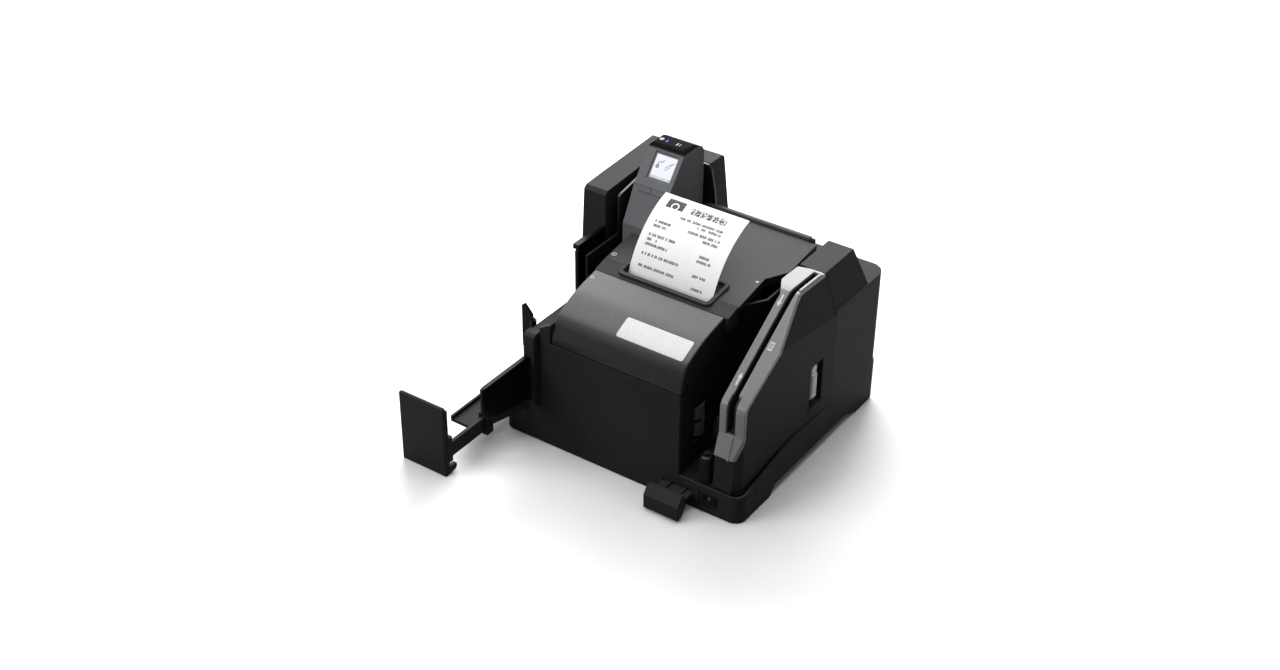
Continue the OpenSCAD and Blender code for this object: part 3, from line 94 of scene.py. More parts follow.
right = Vector((math.cos(TURN), math.sin(TURN), 0))
ahead = Vector((-math.sin(TURN) * math.cos(DIP), math.cos(TURN) * math.cos(DIP), -math.sin(DIP)))
upward = right.cross(ahead)
rolled_right = right * math.cos(ROLL) + upward * math.sin(ROLL)
rolled_up = upward * math.cos(ROLL) - right * math.sin(ROLL)
camera_data = bpy.data.cameras.new("studio_camera")
camera_data.sensor_width = SENSOR
camera_data.lens = SENSOR * FOCAL_PIXELS / PICTURE_WIDTH
camera_data.clip_start, camera_data.clip_end = NEAREST, FARTHEST
camera = bpy.data.objects.new("studio_camera", camera_data)
bpy.context.scene.collection.objects.link(camera)
turned = Matrix((rolled_right, rolled_up, -ahead)).transposed()
camera.matrix_world = Matrix.Translation(Vector(place(CAMERA_PLACE))) @ turned.to_4x4()
bpy.context.scene.camera = camera
print("lens", round(camera_data.lens, 2), "mm")

# %% [markdown]
# ## Materials as sums
# A finish is arithmetic on the position of a point: grain is noise, a printed line is a
# test on a distance. Writing it with nodes alone gets hard to read, so a small class
# wraps a node's socket. Python's own signs then add the Math nodes, and a finish reads
# like a formula.


# %% A value that Python can calculate with
class Value:
    """A number that differs from point to point, held by the socket that carries it."""

    def __init__(self, tree, socket):
        self.tree, self.socket = tree, socket

    def do(self, operation, *others):
        return self.tree.add("Math", others, operation=operation)

    def __add__(self, other):
        return self.do("ADD", self, other)

    def __mul__(self, other):
        return self.do("MULTIPLY", self, other)

    def __sub__(self, other):
        return self.do("SUBTRACT", self, other)

    def __rsub__(self, other):
        return self.do("SUBTRACT", other, self)

    def __truediv__(self, other):
        return self.do("DIVIDE", self, other)

    def __rtruediv__(self, other):
        return self.do("DIVIDE", other, self)

    def __mod__(self, other):
        return self.do("FLOORED_MODULO", self, other)

    def __rmod__(self, other):
        return self.do("FLOORED_MODULO", other, self)

    def __abs__(self):
        return self.do("ABSOLUTE", self)

    def least(self, other):
        return self.do("MINIMUM", self, other)

    def most(self, other):
        return self.do("MAXIMUM", self, other)

    def root(self):
        return self.do("SQRT", self)

    def floor(self):
        return self.do("FLOOR", self)

    def step(self, low, high):
        """Rises smoothly from 0 at low to 1 at high."""
        return self.tree.add("MapRange", (self, low, high), interpolation_type="SMOOTHSTEP")

    __radd__, __rmul__ = __add__, __mul__


def distance(dx, dy):
    """Length of the way dx across and dy up: the root of the sum of their squares."""
    return (dx * dx + dy * dy).root()


print("a value has signs and", ", ".join(name for name in vars(Value) if name[0] != "_"))

# %% [markdown]
# ## One method for every node
# A material needs many kinds of nodes, but each is made in the same way: pick its kind,
# set its options, then fill or link its sockets. So one method makes them all, and the
# few that come back in every finish (position, noise, colour mix, soft edges) get a
# short name.


# %% A finish that adds its own nodes
class Finish:
    """One material, or the world. add() makes any node: its kind, its links and settings."""

    def __init__(self, name, holder=None, end="Material"):
        self.material = holder or bpy.data.materials.new(name)
        self.material.use_nodes = True
        self.nodes = self.material.node_tree.nodes
        self.links = self.material.node_tree.links
        self.nodes.clear()
        self.out = self.nodes.new("ShaderNodeOutput" + end)

    def add(self, kind, values=(), out=0, **settings):
        node = self.nodes.new("ShaderNode" + kind)
        for key, setting in settings.items():
            setattr(node, key, setting)
        for key, value in values.items() if isinstance(values, dict) else enumerate(values):
            if isinstance(value, Value):
                self.links.new(value.socket, node.inputs[key])
            elif value is not None:
                node.inputs[key].default_value = value
        return Value(self, node.outputs[out])

    def position(self):
        """The object's own coordinates, as three values in drawing millimetres."""
        spot = self.add("TexCoord", out="Object")
        drawing = self.add("VectorMath", (spot, tuple(ZERO)), operation="SUBTRACT")
        parts = self.add("SeparateXYZ", (drawing,)).socket.node.outputs
        return [Value(self, socket) * (1 / MM) for socket in parts]

    def noise(self, size_mm, detail=2.0, stretch=(1, 1, 1), rough=0.5):
        """Soft random pattern, from 0 to 1, whose lumps are about size_mm wide."""
        spot = self.add("TexCoord", out="Object")
        scaled = self.add("VectorMath", (spot, stretch), operation="MULTIPLY")
        return self.add("TexNoise", {"Vector": scaled, "Scale": 1 / (size_mm * MM),
                                     "Detail": detail, "Roughness": rough})

    def blend(self, factor, first, second):
        """Mixes two colours."""
        pair = [c if isinstance(c, Value) else (*c, 1) for c in (first, second)]
        return self.add("Mix", {0: factor, 6: pair[0], 7: pair[1]}, out=2, data_type="RGBA")

    def bump(self, strength, depth_mm, height, under=None):
        """A normal that leans as if the surface rose by height times depth_mm."""
        return self.add("Bump", {"Strength": strength, "Distance": depth_mm * MM,
                                 "Height": height, "Normal": under})

    def rounded(self, radius_mm):
        """A normal that rounds off sharp edges, and how far it leans away from the face."""
        soft = self.add("Bevel", {"Radius": radius_mm * MM}, samples=6)
        true = self.add("NewGeometry", out="Normal")
        lean = 1 - self.add("VectorMath", (soft, true), out="Value", operation="DOT_PRODUCT")
        return soft, lean

    def surface(self, shader="BsdfPrincipled", **sockets):
        """Ends the material in a shader; sockets are named with _ for a space."""
        names = {key.replace("_", " "): value for key, value in sockets.items()}
        end = self.add(shader, {k: (*v, 1) if isinstance(v, tuple) and len(v) == 3 else v
                                for k, v in names.items()})
        self.links.new(end.socket, self.out.inputs["Surface"])
        return self.material


def tinted(colour, share):
    """The same colour with all three parts brighter or darker."""
    return tuple(part * share for part in colour)


print("a finish has", ", ".join(name for name in vars(Finish) if name[0] != "_"))

# %% [markdown]
# ## Moulded plastic
# The housings are injection moulded in dark plastic. The mould is spark eroded, so the
# skin has a fine, even grain a third of a millimetre wide, which scatters the light.
# Edges leave the mould slightly rounded and get rubbed bright by hands. Grain and
# Grain and rounding are shading here, because real geometry of that size would be
# millions of faces. Faces that look up are also painted lighter, a painted sheen from the
# lamps above.


# %% Plastic
GRAIN_WIDTH, GRAIN_DEPTH = 0.34, 0.06
TRIM_BLACK, TRIM_BORDER = (0.006, 0.006, 0.0065), 2.0


def plastic(name, colour, rough=0.5, edge_mm=0.9, grain=0.35, specular=0.35, dust_and_sheen=0.9,
            top_sheen_colour=None, crown=None):
    """Grained plastic: bump = fine + coarse noise, lighter and smoother where it leans.

    Faces that look up are painted lighter, a painted sheen standing in for the lamps above,
    and the optional top colour is a painted sheen laid on the faces that look up most.
    Above the height crown the part is a separate, rougher black trim.
    """
    m = Finish(name)
    fine, coarse, cloud = m.noise(GRAIN_WIDTH, 2), m.noise(1.1, 1), m.noise(60, 3)
    soft, lean = m.rounded(edge_mm)
    skin = m.bump(grain, GRAIN_DEPTH, fine * 0.65 + coarse * 0.35, soft)
    rubbed = lean.step(0.015, 0.3) * (0.35 + 0.65 * m.noise(9, 2))
    faces = m.add("SeparateXYZ", (m.add("TexCoord", out="Normal"),)).socket.node.outputs
    looks_up = Value(m, faces[2])
    # Painted sheen: faces that look up are made lighter, standing in for the light from above.
    painted_sheen = looks_up.step(0.2, 0.95) * (0.85 + 0.3 * cloud) * dust_and_sheen
    low, mid, high = [tinted(colour, share) for share in (0.84, 1.0, 2.2)]
    base = m.blend(cloud.step(0.3, 0.7), low, mid)
    base = m.blend(painted_sheen.least(1) * 0.62, base, high)
    # Painted sheen: faces that look up most take the lighter top colour, standing in for the light
    # from above.
    if top_sheen_colour:
        base = m.blend(looks_up.step(0.6, 0.97) * (0.75 + 0.25 * cloud), base, top_sheen_colour)
    base = m.blend((coarse * 0.7 + fine * 0.3).step(0.42, 0.66) * 0.7 * grain, base, high)
    base = m.blend(rubbed * 0.4, base, high)
    gloss = rough + (cloud - 0.5) * 0.10 - rubbed * 0.10 + (fine - 0.5) * 0.12
    if crown:
        trim = m.position()[2].step(crown, crown + TRIM_BORDER)
        base = m.blend(trim, base, TRIM_BLACK)
        gloss = gloss + trim * 0.3
    return m.surface(Base_Color=base, Roughness=gloss, Normal=skin, Specular_IOR_Level=specular)


print("grain", GRAIN_WIDTH, "mm wide and at most", GRAIN_DEPTH, "mm deep")

# %% The plastics of this machine
# Each plastic's up-facing faces get a painted sheen; the cover's lighter top colour is painted
# sheen too.
CHARCOAL = plastic("charcoal_housing", (0.020, 0.020, 0.0204), specular=0.025, dust_and_sheen=1.3)
COVER = plastic("graphite_cover", (0.009, 0.009, 0.0092), rough=0.42, specular=0.14, dust_and_sheen=0.3,
                top_sheen_colour=(0.125, 0.125, 0.127))
LID = plastic("graphite_lid", (0.022, 0.022, 0.0224), rough=0.46, specular=0.05, dust_and_sheen=0.8)
LEDGE = plastic("ledge_grey", (0.022, 0.022, 0.0224), rough=0.6, specular=0.02, dust_and_sheen=0.4)
TOWER = plastic("slate_tower", (0.138, 0.141, 0.149), specular=0.02, grain=0.12, dust_and_sheen=0.1,
                crown=206.9)
RAIL = plastic("grey_rail", (0.175, 0.175, 0.177), rough=0.30, edge_mm=1.5, grain=0.1,
               specular=0.25, dust_and_sheen=0.0)
GLOSS = plastic("gloss_black", (0.003, 0.003, 0.0031), rough=0.3, edge_mm=0.5, grain=0.08,
                specular=0.04)
INNER = plastic("inner_black", (0.007, 0.007, 0.0072), rough=0.55, edge_mm=0.4, specular=0.06)
KEY = plastic("key_grey", (0.135, 0.138, 0.145), rough=0.45, edge_mm=0.6, grain=0.2,
              specular=0.03, dust_and_sheen=0.1)
BUTTON = plastic("button_silver", (0.22, 0.225, 0.235), edge_mm=0.4, grain=0.1, specular=0.15,
                 dust_and_sheen=0.3)
LEVER = plastic("lever_grey", (0.52, 0.52, 0.53), rough=0.34, edge_mm=0.8, grain=0.2)
INK = plastic("cartridge_blue_grey", (0.045, 0.055, 0.080), rough=0.35, edge_mm=0.6, grain=0.15)
PLASTICS = (CHARCOAL, COVER, LID, LEDGE, TOWER, RAIL, GLOSS, INNER, KEY, BUTTON, LEVER, INK)
print("plastics:", ", ".join(finish.name for finish in PLASTICS))

# %% [markdown]
# ## Rubber and metal
# Rollers are ground rubber: matt, with fine rings left by the grinding wheel. Sheet
# metal is zinc plated, so it shows soft spangles, and rolled steel is brushed along one
# direction. Both are noise again, stretched along one axis into rings or scratches.


# %% Rubber
def rubber(name, colour, ring_axis=None):
    """Matt rubber; ring_axis is the number of the axis along which ground rings follow."""
    m = Finish(name)
    soft, lean = m.rounded(0.5)
    speck = m.noise(0.25, 3)
    rings = speck if ring_axis is None else speck * 0.5 + 0.5 * m.noise(
        0.5, 1, [6 if i == ring_axis else 0.02 for i in range(3)])
    dust_and_sheen = m.noise(14, 4).step(0.5, 0.8)
    base = m.blend(dust_and_sheen * 0.3 + lean.step(0.02, 0.3) * 0.3, colour, tinted(colour, 2.2))
    return m.surface(Base_Color=base, Roughness=0.78 + dust_and_sheen * 0.1,
                     Normal=m.bump(0.5, 0.08, rings, soft), Specular_IOR_Level=0.25)


PLATEN = rubber("platen_rubber", (0.022, 0.022, 0.023), ring_axis=0)
FOOT = rubber("foot_rubber", (0.012, 0.012, 0.012))
BELT = rubber("belt_rubber", (0.010, 0.010, 0.010))
print("rubbers:", ", ".join(finish.name for finish in (PLATEN, FOOT, BELT)))


# %% Metals
def metal(name, colour, rough=0.3, brush=(1, 1, 1), spangle=0.0):
    """Metal: brush stretches the scratches, spangle adds the crystals of zinc plate."""
    m = Finish(name)
    soft, lean = m.rounded(0.25)
    scratch, stain = m.noise(0.4, 3, brush), m.noise(12, 3)
    spot = m.add("TexCoord", out="Object")
    crystal = m.add("TexVoronoi", {"Vector": spot, "Scale": 260.0}, out="Distance")
    light = scratch * 0.5 + stain * 0.5 + crystal * spangle
    base = m.blend(light.step(0.2, 0.9), tinted(colour, 0.72), colour)
    gloss = rough + (scratch - 0.5) * 0.2 + (stain - 0.5) * 0.12
    return m.surface(Base_Color=base, Roughness=gloss, Metallic=1.0,
                     Normal=m.bump(0.15, 0.02, scratch, soft))


STEEL = metal("bright_steel", (0.62, 0.62, 0.64), 0.28, (0.05, 1, 1))
ZINC = metal("zinc_plate", (0.55, 0.56, 0.58), 0.38, spangle=0.5)
SPRING = metal("blackened_wire", (0.075, 0.075, 0.08), 0.4, (0.3, 0.3, 1))
SHAFT = metal("shaft_steel", (0.66, 0.66, 0.68), 0.22, (1, 1, 0.05))
NICKEL = metal("socket_nickel", (0.60, 0.59, 0.56), 0.25, (1, 0.1, 1))
print("metals:", ", ".join(finish.name for finish in (STEEL, ZINC, SPRING, SHAFT, NICKEL)))

# %% [markdown]
# ## The paper and what is printed on it
# Paper is never flat white: its fibres make it cloudy at a small scale. The receipt
# leaves the slot and curls back on a circle, so the distance along the paper is the
# circle's angle times its radius. Rows of short grey bars at a steady pitch stand for
# the printed lines. Where a row has a word and where a gap comes from stepped noise:
# noise read once per cell, so that a whole cell is inked or left white.


# %% White paper and its rows of print
def paper_base(m):
    """Fibres: two sizes of noise, one of them stretched, make white paper cloudy."""
    fibre = m.noise(0.5, 4, (1, 3, 3)) * 0.6 + m.noise(6, 2) * 0.4
    white = m.blend(fibre.step(0.3, 0.7), (0.84, 0.84, 0.835), (0.90, 0.90, 0.895))
    return white, m.bump(0.12, 0.03, fibre)


CURL_Y, CURL_Z, CURL_RADIUS, PAPER_MIDDLE = 147.9, 114.0, 78.0, -2.15
PRINT_TOP = 99.0  # the paper's free end, measured along the curl
LETTER_STEP, WORD_STEP, HEADING_STEP = 1.3, 3.1, 5.6
NOTHING = (90, 90.2)  # a stretch past the edge of the paper
# Distance below the free end, then the stretches across the paper that are printed.
PRINTED_ROWS = {17: (NOTHING, (-14, 26)), 20.5: (NOTHING, (4, 26)), 26: ((-33, -18), (-2, 28)),
                30: ((-33, -19), (14, 28)), 38: ((-33, -8), NOTHING), 42: ((-33, -23), (16, 29)),
                46: ((-33, -12), (16, 29)), 54: ((-33, 2), NOTHING), 58: (NOTHING, (16, 29)),
                64: ((-33, 1), NOTHING), 68: (NOTHING, (18, 29))}
print("receipt:", len(PRINTED_ROWS), "printed rows")


# %% The rows of bars
def printed_rows(m, along, across):
    """Ink = row x stretch x word x bar: each is 1 where there is print and 0 elsewhere."""
    bar = abs((across % LETTER_STEP) - LETTER_STEP / 2).step(0.62, 0.5)
    ink = 0
    for down, stretches in PRINTED_ROWS.items():
        row = 1 - abs(along - (PRINT_TOP - down)).step(1.05, 1.25)
        first, second = (across.step(start, start + 0.1) * (1 - across.step(stop - 0.1, stop))
                         for start, stop in stretches)
        ink = row * (first + second) + ink
    cell, line = (across / LETTER_STEP).floor(), (along / WORD_STEP).floor()
    spot = m.add("CombineXYZ", (cell * 0.61, line * 3.7, 0.0))
    word = m.add("TexNoise", {"Vector": spot, "Scale": 1.0, "Detail": 0.0}).step(0.36, 0.38)
    return ink * word * bar * m.noise(0.5, 0).step(0.30, 0.40)


def heading_and_stamp(m, along, across):
    """A row of broken blocks, and a dark stamp with a ring left white in it."""
    heading = 1 - abs(along - (PRINT_TOP - 8)).step(3.0, 3.2)
    heading = heading * across.step(-9, -8.8) * (1 - across.step(24, 24.2))
    block = abs((across % HEADING_STEP) - HEADING_STEP / 2).step(2.6, 2.3)
    heading = heading * block * (1 - 0.6 * m.noise(1.6, 0).step(0.5, 0.56))
    from_stamp = across + 24
    stamp = 1 - abs(along - (PRINT_TOP - 7)).step(4.4, 4.6)
    stamp = stamp * (1 - abs(from_stamp).step(8, 8.2))
    ring = distance(from_stamp, along - (PRINT_TOP - 9)) - 3.0
    return heading, stamp * (1 - (1 - abs(ring).step(0.5, 0.7)) * 0.9)


print("print starts", PRINT_TOP - min(PRINTED_ROWS), "mm along the paper")


# %% Receipt and paper roll
def receipt_paper():
    """Only the face that looks away from the curl's axis is printed."""
    m = Finish("receipt_paper")
    x, y, z = m.position()
    back, rise = CURL_Y - y, z - CURL_Z
    along = rise.do("ARCTAN2", rise, back) * CURL_RADIUS
    across = x - PAPER_MIDDLE
    rows = printed_rows(m, along, across)
    heading, stamp = heading_and_stamp(m, along, across)
    outer_face = (distance(back, rise) - (CURL_RADIUS + 0.05)).step(-0.06, 0.0)
    ink = (rows + heading + stamp).least(0.97) * outer_face
    white, skin = paper_base(m)
    return m.surface(Base_Color=m.blend(ink, white, (0.018, 0.018, 0.020)), Roughness=0.62,
                     Normal=skin, Specular_IOR_Level=0.3)


def roll_paper(axis_y=141.0, axis_z=87.4, turn_mm=0.9, core_mm=10.2):
    """The ends of a roll show its turns as fine rings round the grey core."""
    m = Finish("roll_paper")
    x, y, z = m.position()
    radius = distance(y - axis_y, z - axis_z)
    rings = abs((radius % turn_mm) - turn_mm / 2).step(0.0, turn_mm / 2)
    core = 1 - radius.step(core_mm, core_mm + 0.2)
    white, skin = paper_base(m)
    ringed = m.blend((1 - rings) * 0.25, white, (0.55, 0.55, 0.54))
    return m.surface(Base_Color=m.blend(core, ringed, (0.16, 0.16, 0.17)), Roughness=0.7,
                     Normal=skin)


RECEIPT, ROLL_PAPER = receipt_paper(), roll_paper()
print("papers:", RECEIPT.name, "and", ROLL_PAPER.name)

# %% [markdown]
# ## The lit display
# A display is a pane that glows, so its colour goes into Emission Color. The picture on
# it is drawn with distances: a disc is "nearer than its radius", a line is "nearer to the
# segment than half its width". Along the pane, x runs across and s up the slope.

# %% Shapes drawn with distances
PANE_X, PANE_Y, PANE_Z, PANE_TILT = -58.5, 135.5, 182.6, math.radians(51.8)
PANE_S, PANE_WIDTH, PANE_HEIGHT = 7.6, 21.0, 21.4


def slope_axes(m):
    """Distance across the display and up its slope, in millimetres from its corner."""
    x, y, z = m.position()
    s = (y - PANE_Y) * math.cos(PANE_TILT) + (z - PANE_Z) * math.sin(PANE_TILT) - PANE_S
    return x - (PANE_X - PANE_WIDTH / 2), s


def inside(x, s, x0, x1, s0, s1, soft=0.12):
    """1 inside a rectangle, with a soft border."""
    return (x.step(x0, x0 + soft) * (1 - x.step(x1 - soft, x1))
            * s.step(s0, s0 + soft) * (1 - s.step(s1 - soft, s1)))


def near_segment(x, s, a, b, half, soft=0.15):
    """1 nearer than half to the segment from a to b: distance to the nearest point on it."""
    ax, bx = a[0], b[0] - a[0]
    ay, by = a[1], b[1] - a[1]
    share = (((x - ax) * bx + (s - ay) * by) / (bx * bx + by * by)).most(0).least(1)
    return 1 - distance(x - ax - share * bx, s - ay - share * by).step(half, half + soft)


print("display", PANE_WIDTH, "by", PANE_HEIGHT, "mm")

# %% The picture on the display
TICKS = [[(6.1, 15.4), (7.0, 14.4), (9.0, 16.8)], [(15.4, 15.2), (16.3, 14.2), (18.3, 16.6)]]


def display():
    """A drop, two sheets and two ticks on a pale pane, with a bar along its foot."""
    m = Finish("lit_display")
    x, s = slope_axes(m)
    drop = 1 - distance(x - 4.2, s - 10.8).step(1.75, 1.95)
    point = near_segment(x, s, (4.2, 11.6), (4.6, 14.4), 0.55)
    first = abs(distance(x - 13.0, s - 10.9) - 1.3)
    second = abs(distance(x - 14.6, s - 12.8) - 1.1)
    sheet = 1 - first.least(second).step(0.26, 0.42)
    strokes = [near_segment(x, s, a, b, 0.34) for tick in TICKS for a, b in zip(tick, tick[1:])]
    ticks = strokes[0] + strokes[1] + strokes[2] + strokes[3]
    dark = (drop.most(point) * 0.92 + sheet * 0.7 + ticks * 0.9).least(0.92)
    glow = m.blend(dark, (0.70, 0.72, 0.81), (0.05, 0.055, 0.07))
    bar = inside(x, s, 0.3, PANE_WIDTH - 0.3, 0.3, 2.7)
    gap = inside(x, s, PANE_WIDTH / 2 - 0.2, PANE_WIDTH / 2 + 0.2, 0.5, 3.5)
    dashes = m.noise(0.7, 0, (1, 0.6, 0.6)).step(0.46, 0.5)
    dashes = dashes * inside(x, s, 1.2, PANE_WIDTH - 1.2, 0.9, 2.1)
    glow = m.blend(bar * (1 - gap) * (0.75 - dashes * 0.45), glow, (0.20, 0.21, 0.30))
    border = 1 - inside(x, s, 0.5, PANE_WIDTH - 0.5, 0.5, PANE_HEIGHT - 0.5, 0.3)
    glow = m.blend(border, glow, (0.01, 0.01, 0.012))
    return m.surface(Base_Color=(0.02, 0.02, 0.025), Roughness=0.12, Emission_Color=glow,
                     Emission_Strength=0.95, Specular_IOR_Level=0.5)


DISPLAY = display()
print("display drawn with", len(DISPLAY.node_tree.nodes), "nodes")


# %% Status lights
def lights(top=208.5):
    """Lenses in one moulded strip: the left one glows blue, the others white."""
    m = Finish("status_lenses")
    x, y, z = m.position()
    blue = 1 - x.step(-64, -63.5)
    bar = (1 - abs(x + 57.2).step(0.4, 0.5)) + (1 - abs(x + 54.6).step(0.4, 0.5)) + blue
    lens = z.step(top, top + 0.2) * bar.least(1)
    white = m.blend(x.step(-56, -55.8), (0.85, 0.86, 0.84), (0.30, 0.30, 0.28))
    colour = m.blend(blue, white, (0.02, 0.07, 0.80))
    return m.surface(Base_Color=m.blend(lens, (0.006, 0.006, 0.006), (0.02, 0.02, 0.025)),
                     Roughness=0.5, Emission_Color=m.blend(lens, (0, 0, 0), colour),
                     Emission_Strength=1.0, Specular_IOR_Level=0.1)


LIGHTS = lights()
print("lights drawn with", len(LIGHTS.node_tree.nodes), "nodes")

# %% [markdown]
# ## Circuit boards
# A board is green lacquer over copper. The copper shows through as slightly lighter
# tracks, which run straight and turn at right angles, so they are stripes in x and in y
# that a coarse noise switches on and off.


# %% Boards and chips
def board(track_step=2.4):
    """Tracks = stripes in x or y, picked by noise, with round pads between them."""
    m = Finish("circuit_board")
    x, y, z = m.position()
    pick = m.noise(9, 0, (1, 1, 0)).step(0.48, 0.52)
    stripe_x, stripe_y = (abs((v % track_step) - track_step / 2).step(0.35, 0.45) for v in (x, y))
    track = (1 - stripe_x) * pick + (1 - stripe_y) * (1 - pick)
    track = track * m.noise(16, 0, (1, 1, 0)).step(0.5, 0.55)
    hole = m.add("TexVoronoi", {"Vector": m.add("TexCoord", out="Object"), "Scale": 150.0})
    pad = 1 - hole.step(0.10, 0.13)
    base = m.blend(track * 0.8, (0.010, 0.085, 0.030), (0.020, 0.16, 0.055))
    base = m.blend(pad, base, (0.55, 0.50, 0.36))
    return m.surface(Base_Color=base, Roughness=0.35 - pad * 0.1, Metallic=pad * 0.8,
                     Normal=m.bump(0.4, 0.05, track))


def chips():
    """Black chips; capacitors at the right get aluminium cans, front sockets ivory bodies."""
    m = Finish("board_components")
    x, y, z = m.position()
    soft, lean = m.rounded(0.3)
    can, socket = x.step(10.5, 10.8), 1 - y.step(64, 64.3)
    base = m.blend(m.noise(1, 2) * 0.4, (0.010, 0.010, 0.011), (0.025, 0.025, 0.027))
    base = m.blend(socket, base, (0.62, 0.60, 0.52))
    base = m.blend(can, base, (0.55, 0.56, 0.58))
    return m.surface(Base_Color=base, Roughness=0.45 - can * 0.15, Metallic=can, Normal=soft)


BOARD, CHIPS = board(), chips()
print("electronics:", BOARD.name, "and", CHIPS.name)

# %% [markdown]
# ## Rollers on shafts
# A roller is one construction piece, but three materials meet in it: a rubber tread, a
# black pulley below and a steel shaft through both. One material can serve all three
# when it asks how far a point is from the shaft's axis.

# %% Rollers
SHAFT_RADII = {"side_roller": 2.4, "feed_roller": 2.4, "rear_roller": 2.4, "exit_roller": 2.4,
               "side_pinch_roller": 1.8}  # in millimetres
PULLEY_TOP = 22.2
DRIVE_TREAD, PINCH_TREAD = (0.035, 0.035, 0.036), (0.16, 0.16, 0.165)


def on_shaft(name, axis_x, axis_y, shaft_mm, tread):
    """Steel within shaft_mm of the upright axis, black below PULLEY_TOP, else tread."""
    m = Finish(name)
    x, y, z = m.position()
    from_axis = distance(x - axis_x, y - axis_y)
    steel = 1 - from_axis.step(shaft_mm + 0.05, shaft_mm + 0.25)
    pulley = 1 - z.step(PULLEY_TOP, PULLEY_TOP + 0.1)
    soft, lean = m.rounded(0.4)
    rings = m.noise(0.5, 1, (0.02, 0.02, 6))
    base = m.blend(rings * 0.4, tread, tinted(tread, 1.8))
    base = m.blend(pulley, base, (0.014, 0.014, 0.014))
    base = m.blend(steel, base, (0.62, 0.62, 0.64))
    return m.surface(Base_Color=base, Roughness=0.75 - steel * 0.47, Metallic=steel,
                     Normal=m.bump(0.35, 0.06, rings, soft))


def middle_of(node):
    """Centre of a construction piece in drawing millimetres."""
    low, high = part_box(node)
    return ((np.array(low) + np.array(high)) / 2 - ZERO) / MM


for node in SHAFT_RADII:
    print(node, "turns about", middle_of(node)[:2].round(1))

# %% [markdown]
# ## Each construction piece gets its finish
# The shapes of these pieces are right as they are, so only their material slots change.
# One table says what every named piece is made of.

# %% The table of finishes
FINISHES = {
    CHARCOAL: "base_housing left_rear_housing rear_cover right_rear_cover cartridge_cover"
              " door_shell front_fascia corner_post feeder_tray stop_plate",
    COVER: "front_cover slot_wall",
    LEDGE: "side_ledge",
    LID: "roll_cover slot_shroud",
    TOWER: "tower_shell",
    RAIL: "swipe_rails",
    GLOSS: "pocket_fence pocket_flap card_guide front_switch",
    INNER: "path_deck inner_guide roll_bay pocket_floor feed_arm arm_post port_plate power_inlet"
           " image_bar",
    KEY: "left_key right_key",
    BUTTON: "power_button",
    LEVER: "door_lever",
    INK: "ink_cartridge",
    FOOT: "rubber_feet",
    BELT: "drive_belt",
    PLATEN: "platen_roller",
    ZINC: "chassis_plate cutter_frame drive_motor",
    SHAFT: "door_pin",
    NICKEL: "port_shells",
    ROLL_PAPER: "paper_roll",
    RECEIPT: "receipt",
    DISPLAY: "screen_panel",
    LIGHTS: "status_lights",
    BOARD: "main_board display_board",
    CHIPS: "board_parts",
    STEEL: "cutter_blade thermal_head swipe_head ink_head",
    SPRING: "arm_spring",
}


def paint(node, material):
    """Gives a construction piece its material, in every slot that it has."""
    piece = frame["nodes"][node]
    if not piece.material_slots:
        piece.data.materials.append(material)
    for material_slot in piece.material_slots:
        material_slot.material = material


for material, names in FINISHES.items():
    for node in names.split():
        paint(node, material)
for node, shaft_mm in SHAFT_RADII.items():
    spot, tread = middle_of(node), PINCH_TREAD if "pinch" in node else DRIVE_TREAD
    paint(node, on_shaft(node + "_finish", spot[0], spot[1], shaft_mm, tread))
finished = {*" ".join(FINISHES.values()).split(), *SHAFT_RADII}
print("finished", len(finished), "pieces, left over:", set(frame["nodes"]) - finished)

# %% [markdown]
# ## Surfaces from a grid of points
# Every new piece starts as a grid: one ring of points after another, each in drawing
# millimetres. One function joins the neighbours into faces, closes the two ends and
# turns the faces outwards, so the pieces themselves only have to work out their points.


# %% From points to a mesh
def shell(name, grid, material, body, caps=False, smooth=True):
    """A closed mesh from rings of points: neighbours join, and caps fill the two end rings.

    The sign of the enclosed volume says whether the faces point outwards; if they point
    inwards, every face is turned round.
    """
    rows, columns = grid.shape[:2]
    index = np.arange(rows * columns).reshape(rows, columns)
    index = np.concatenate([index, index[:, :1]], 1)
    corners = index[:-1, :-1], index[:-1, 1:], index[1:, 1:], index[1:, :-1]
    faces = np.stack(corners, -1).reshape(-1, 4)
    points = grid.reshape(-1, 3)
    first, second, third, fourth = (points[faces[:, i]] for i in range(4))
    volume = (np.cross(second - first, third - first) * first
              + np.cross(third - first, fourth - first) * first).sum()
    rings = [index[0, :-1][::-1], index[-1, :-1]] if caps else []
    if volume < 0:
        faces, rings = faces[:, ::-1], [ring[::-1] for ring in rings]
    mesh = bpy.data.meshes.new(name)
    mesh.from_pydata(place(points).tolist(), [], faces.tolist() + [ring.tolist() for ring in rings])
    mesh.polygons.foreach_set("use_smooth", [smooth] * len(mesh.polygons))
    if not caps:  # the last ring may repeat the first
        welded = bmesh.new()
        welded.from_mesh(mesh)
        bmesh.ops.remove_doubles(welded, verts=welded.verts, dist=1e-7)
        welded.to_mesh(mesh)
        welded.free()
    mesh.materials.append(material)
    piece = bpy.data.objects.new(name, mesh)
    bpy.context.scene.collection.objects.link(piece)
    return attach(piece, body)


cad_faces = sum(len(piece.data.polygons) for piece in frame["nodes"].values())
print("construction pieces:", cad_faces, "faces before the new ones")


# %% Lines and outlines
def along(line, count):
    """The line with count points at equal steps of its length."""
    steps = np.linalg.norm(np.diff(line, axis=0), axis=1)
    travelled = np.concatenate([[0], np.cumsum(steps)])
    stops = np.linspace(0, travelled[-1], count)
    return np.stack([np.interp(stops, travelled, line[:, i]) for i in range(2)], -1)


def evened(outline, count):
    """A closed outline with count points at equal steps of the distance round it."""
    return along(np.concatenate([outline, outline[:1]]), count + 1)[:-1]


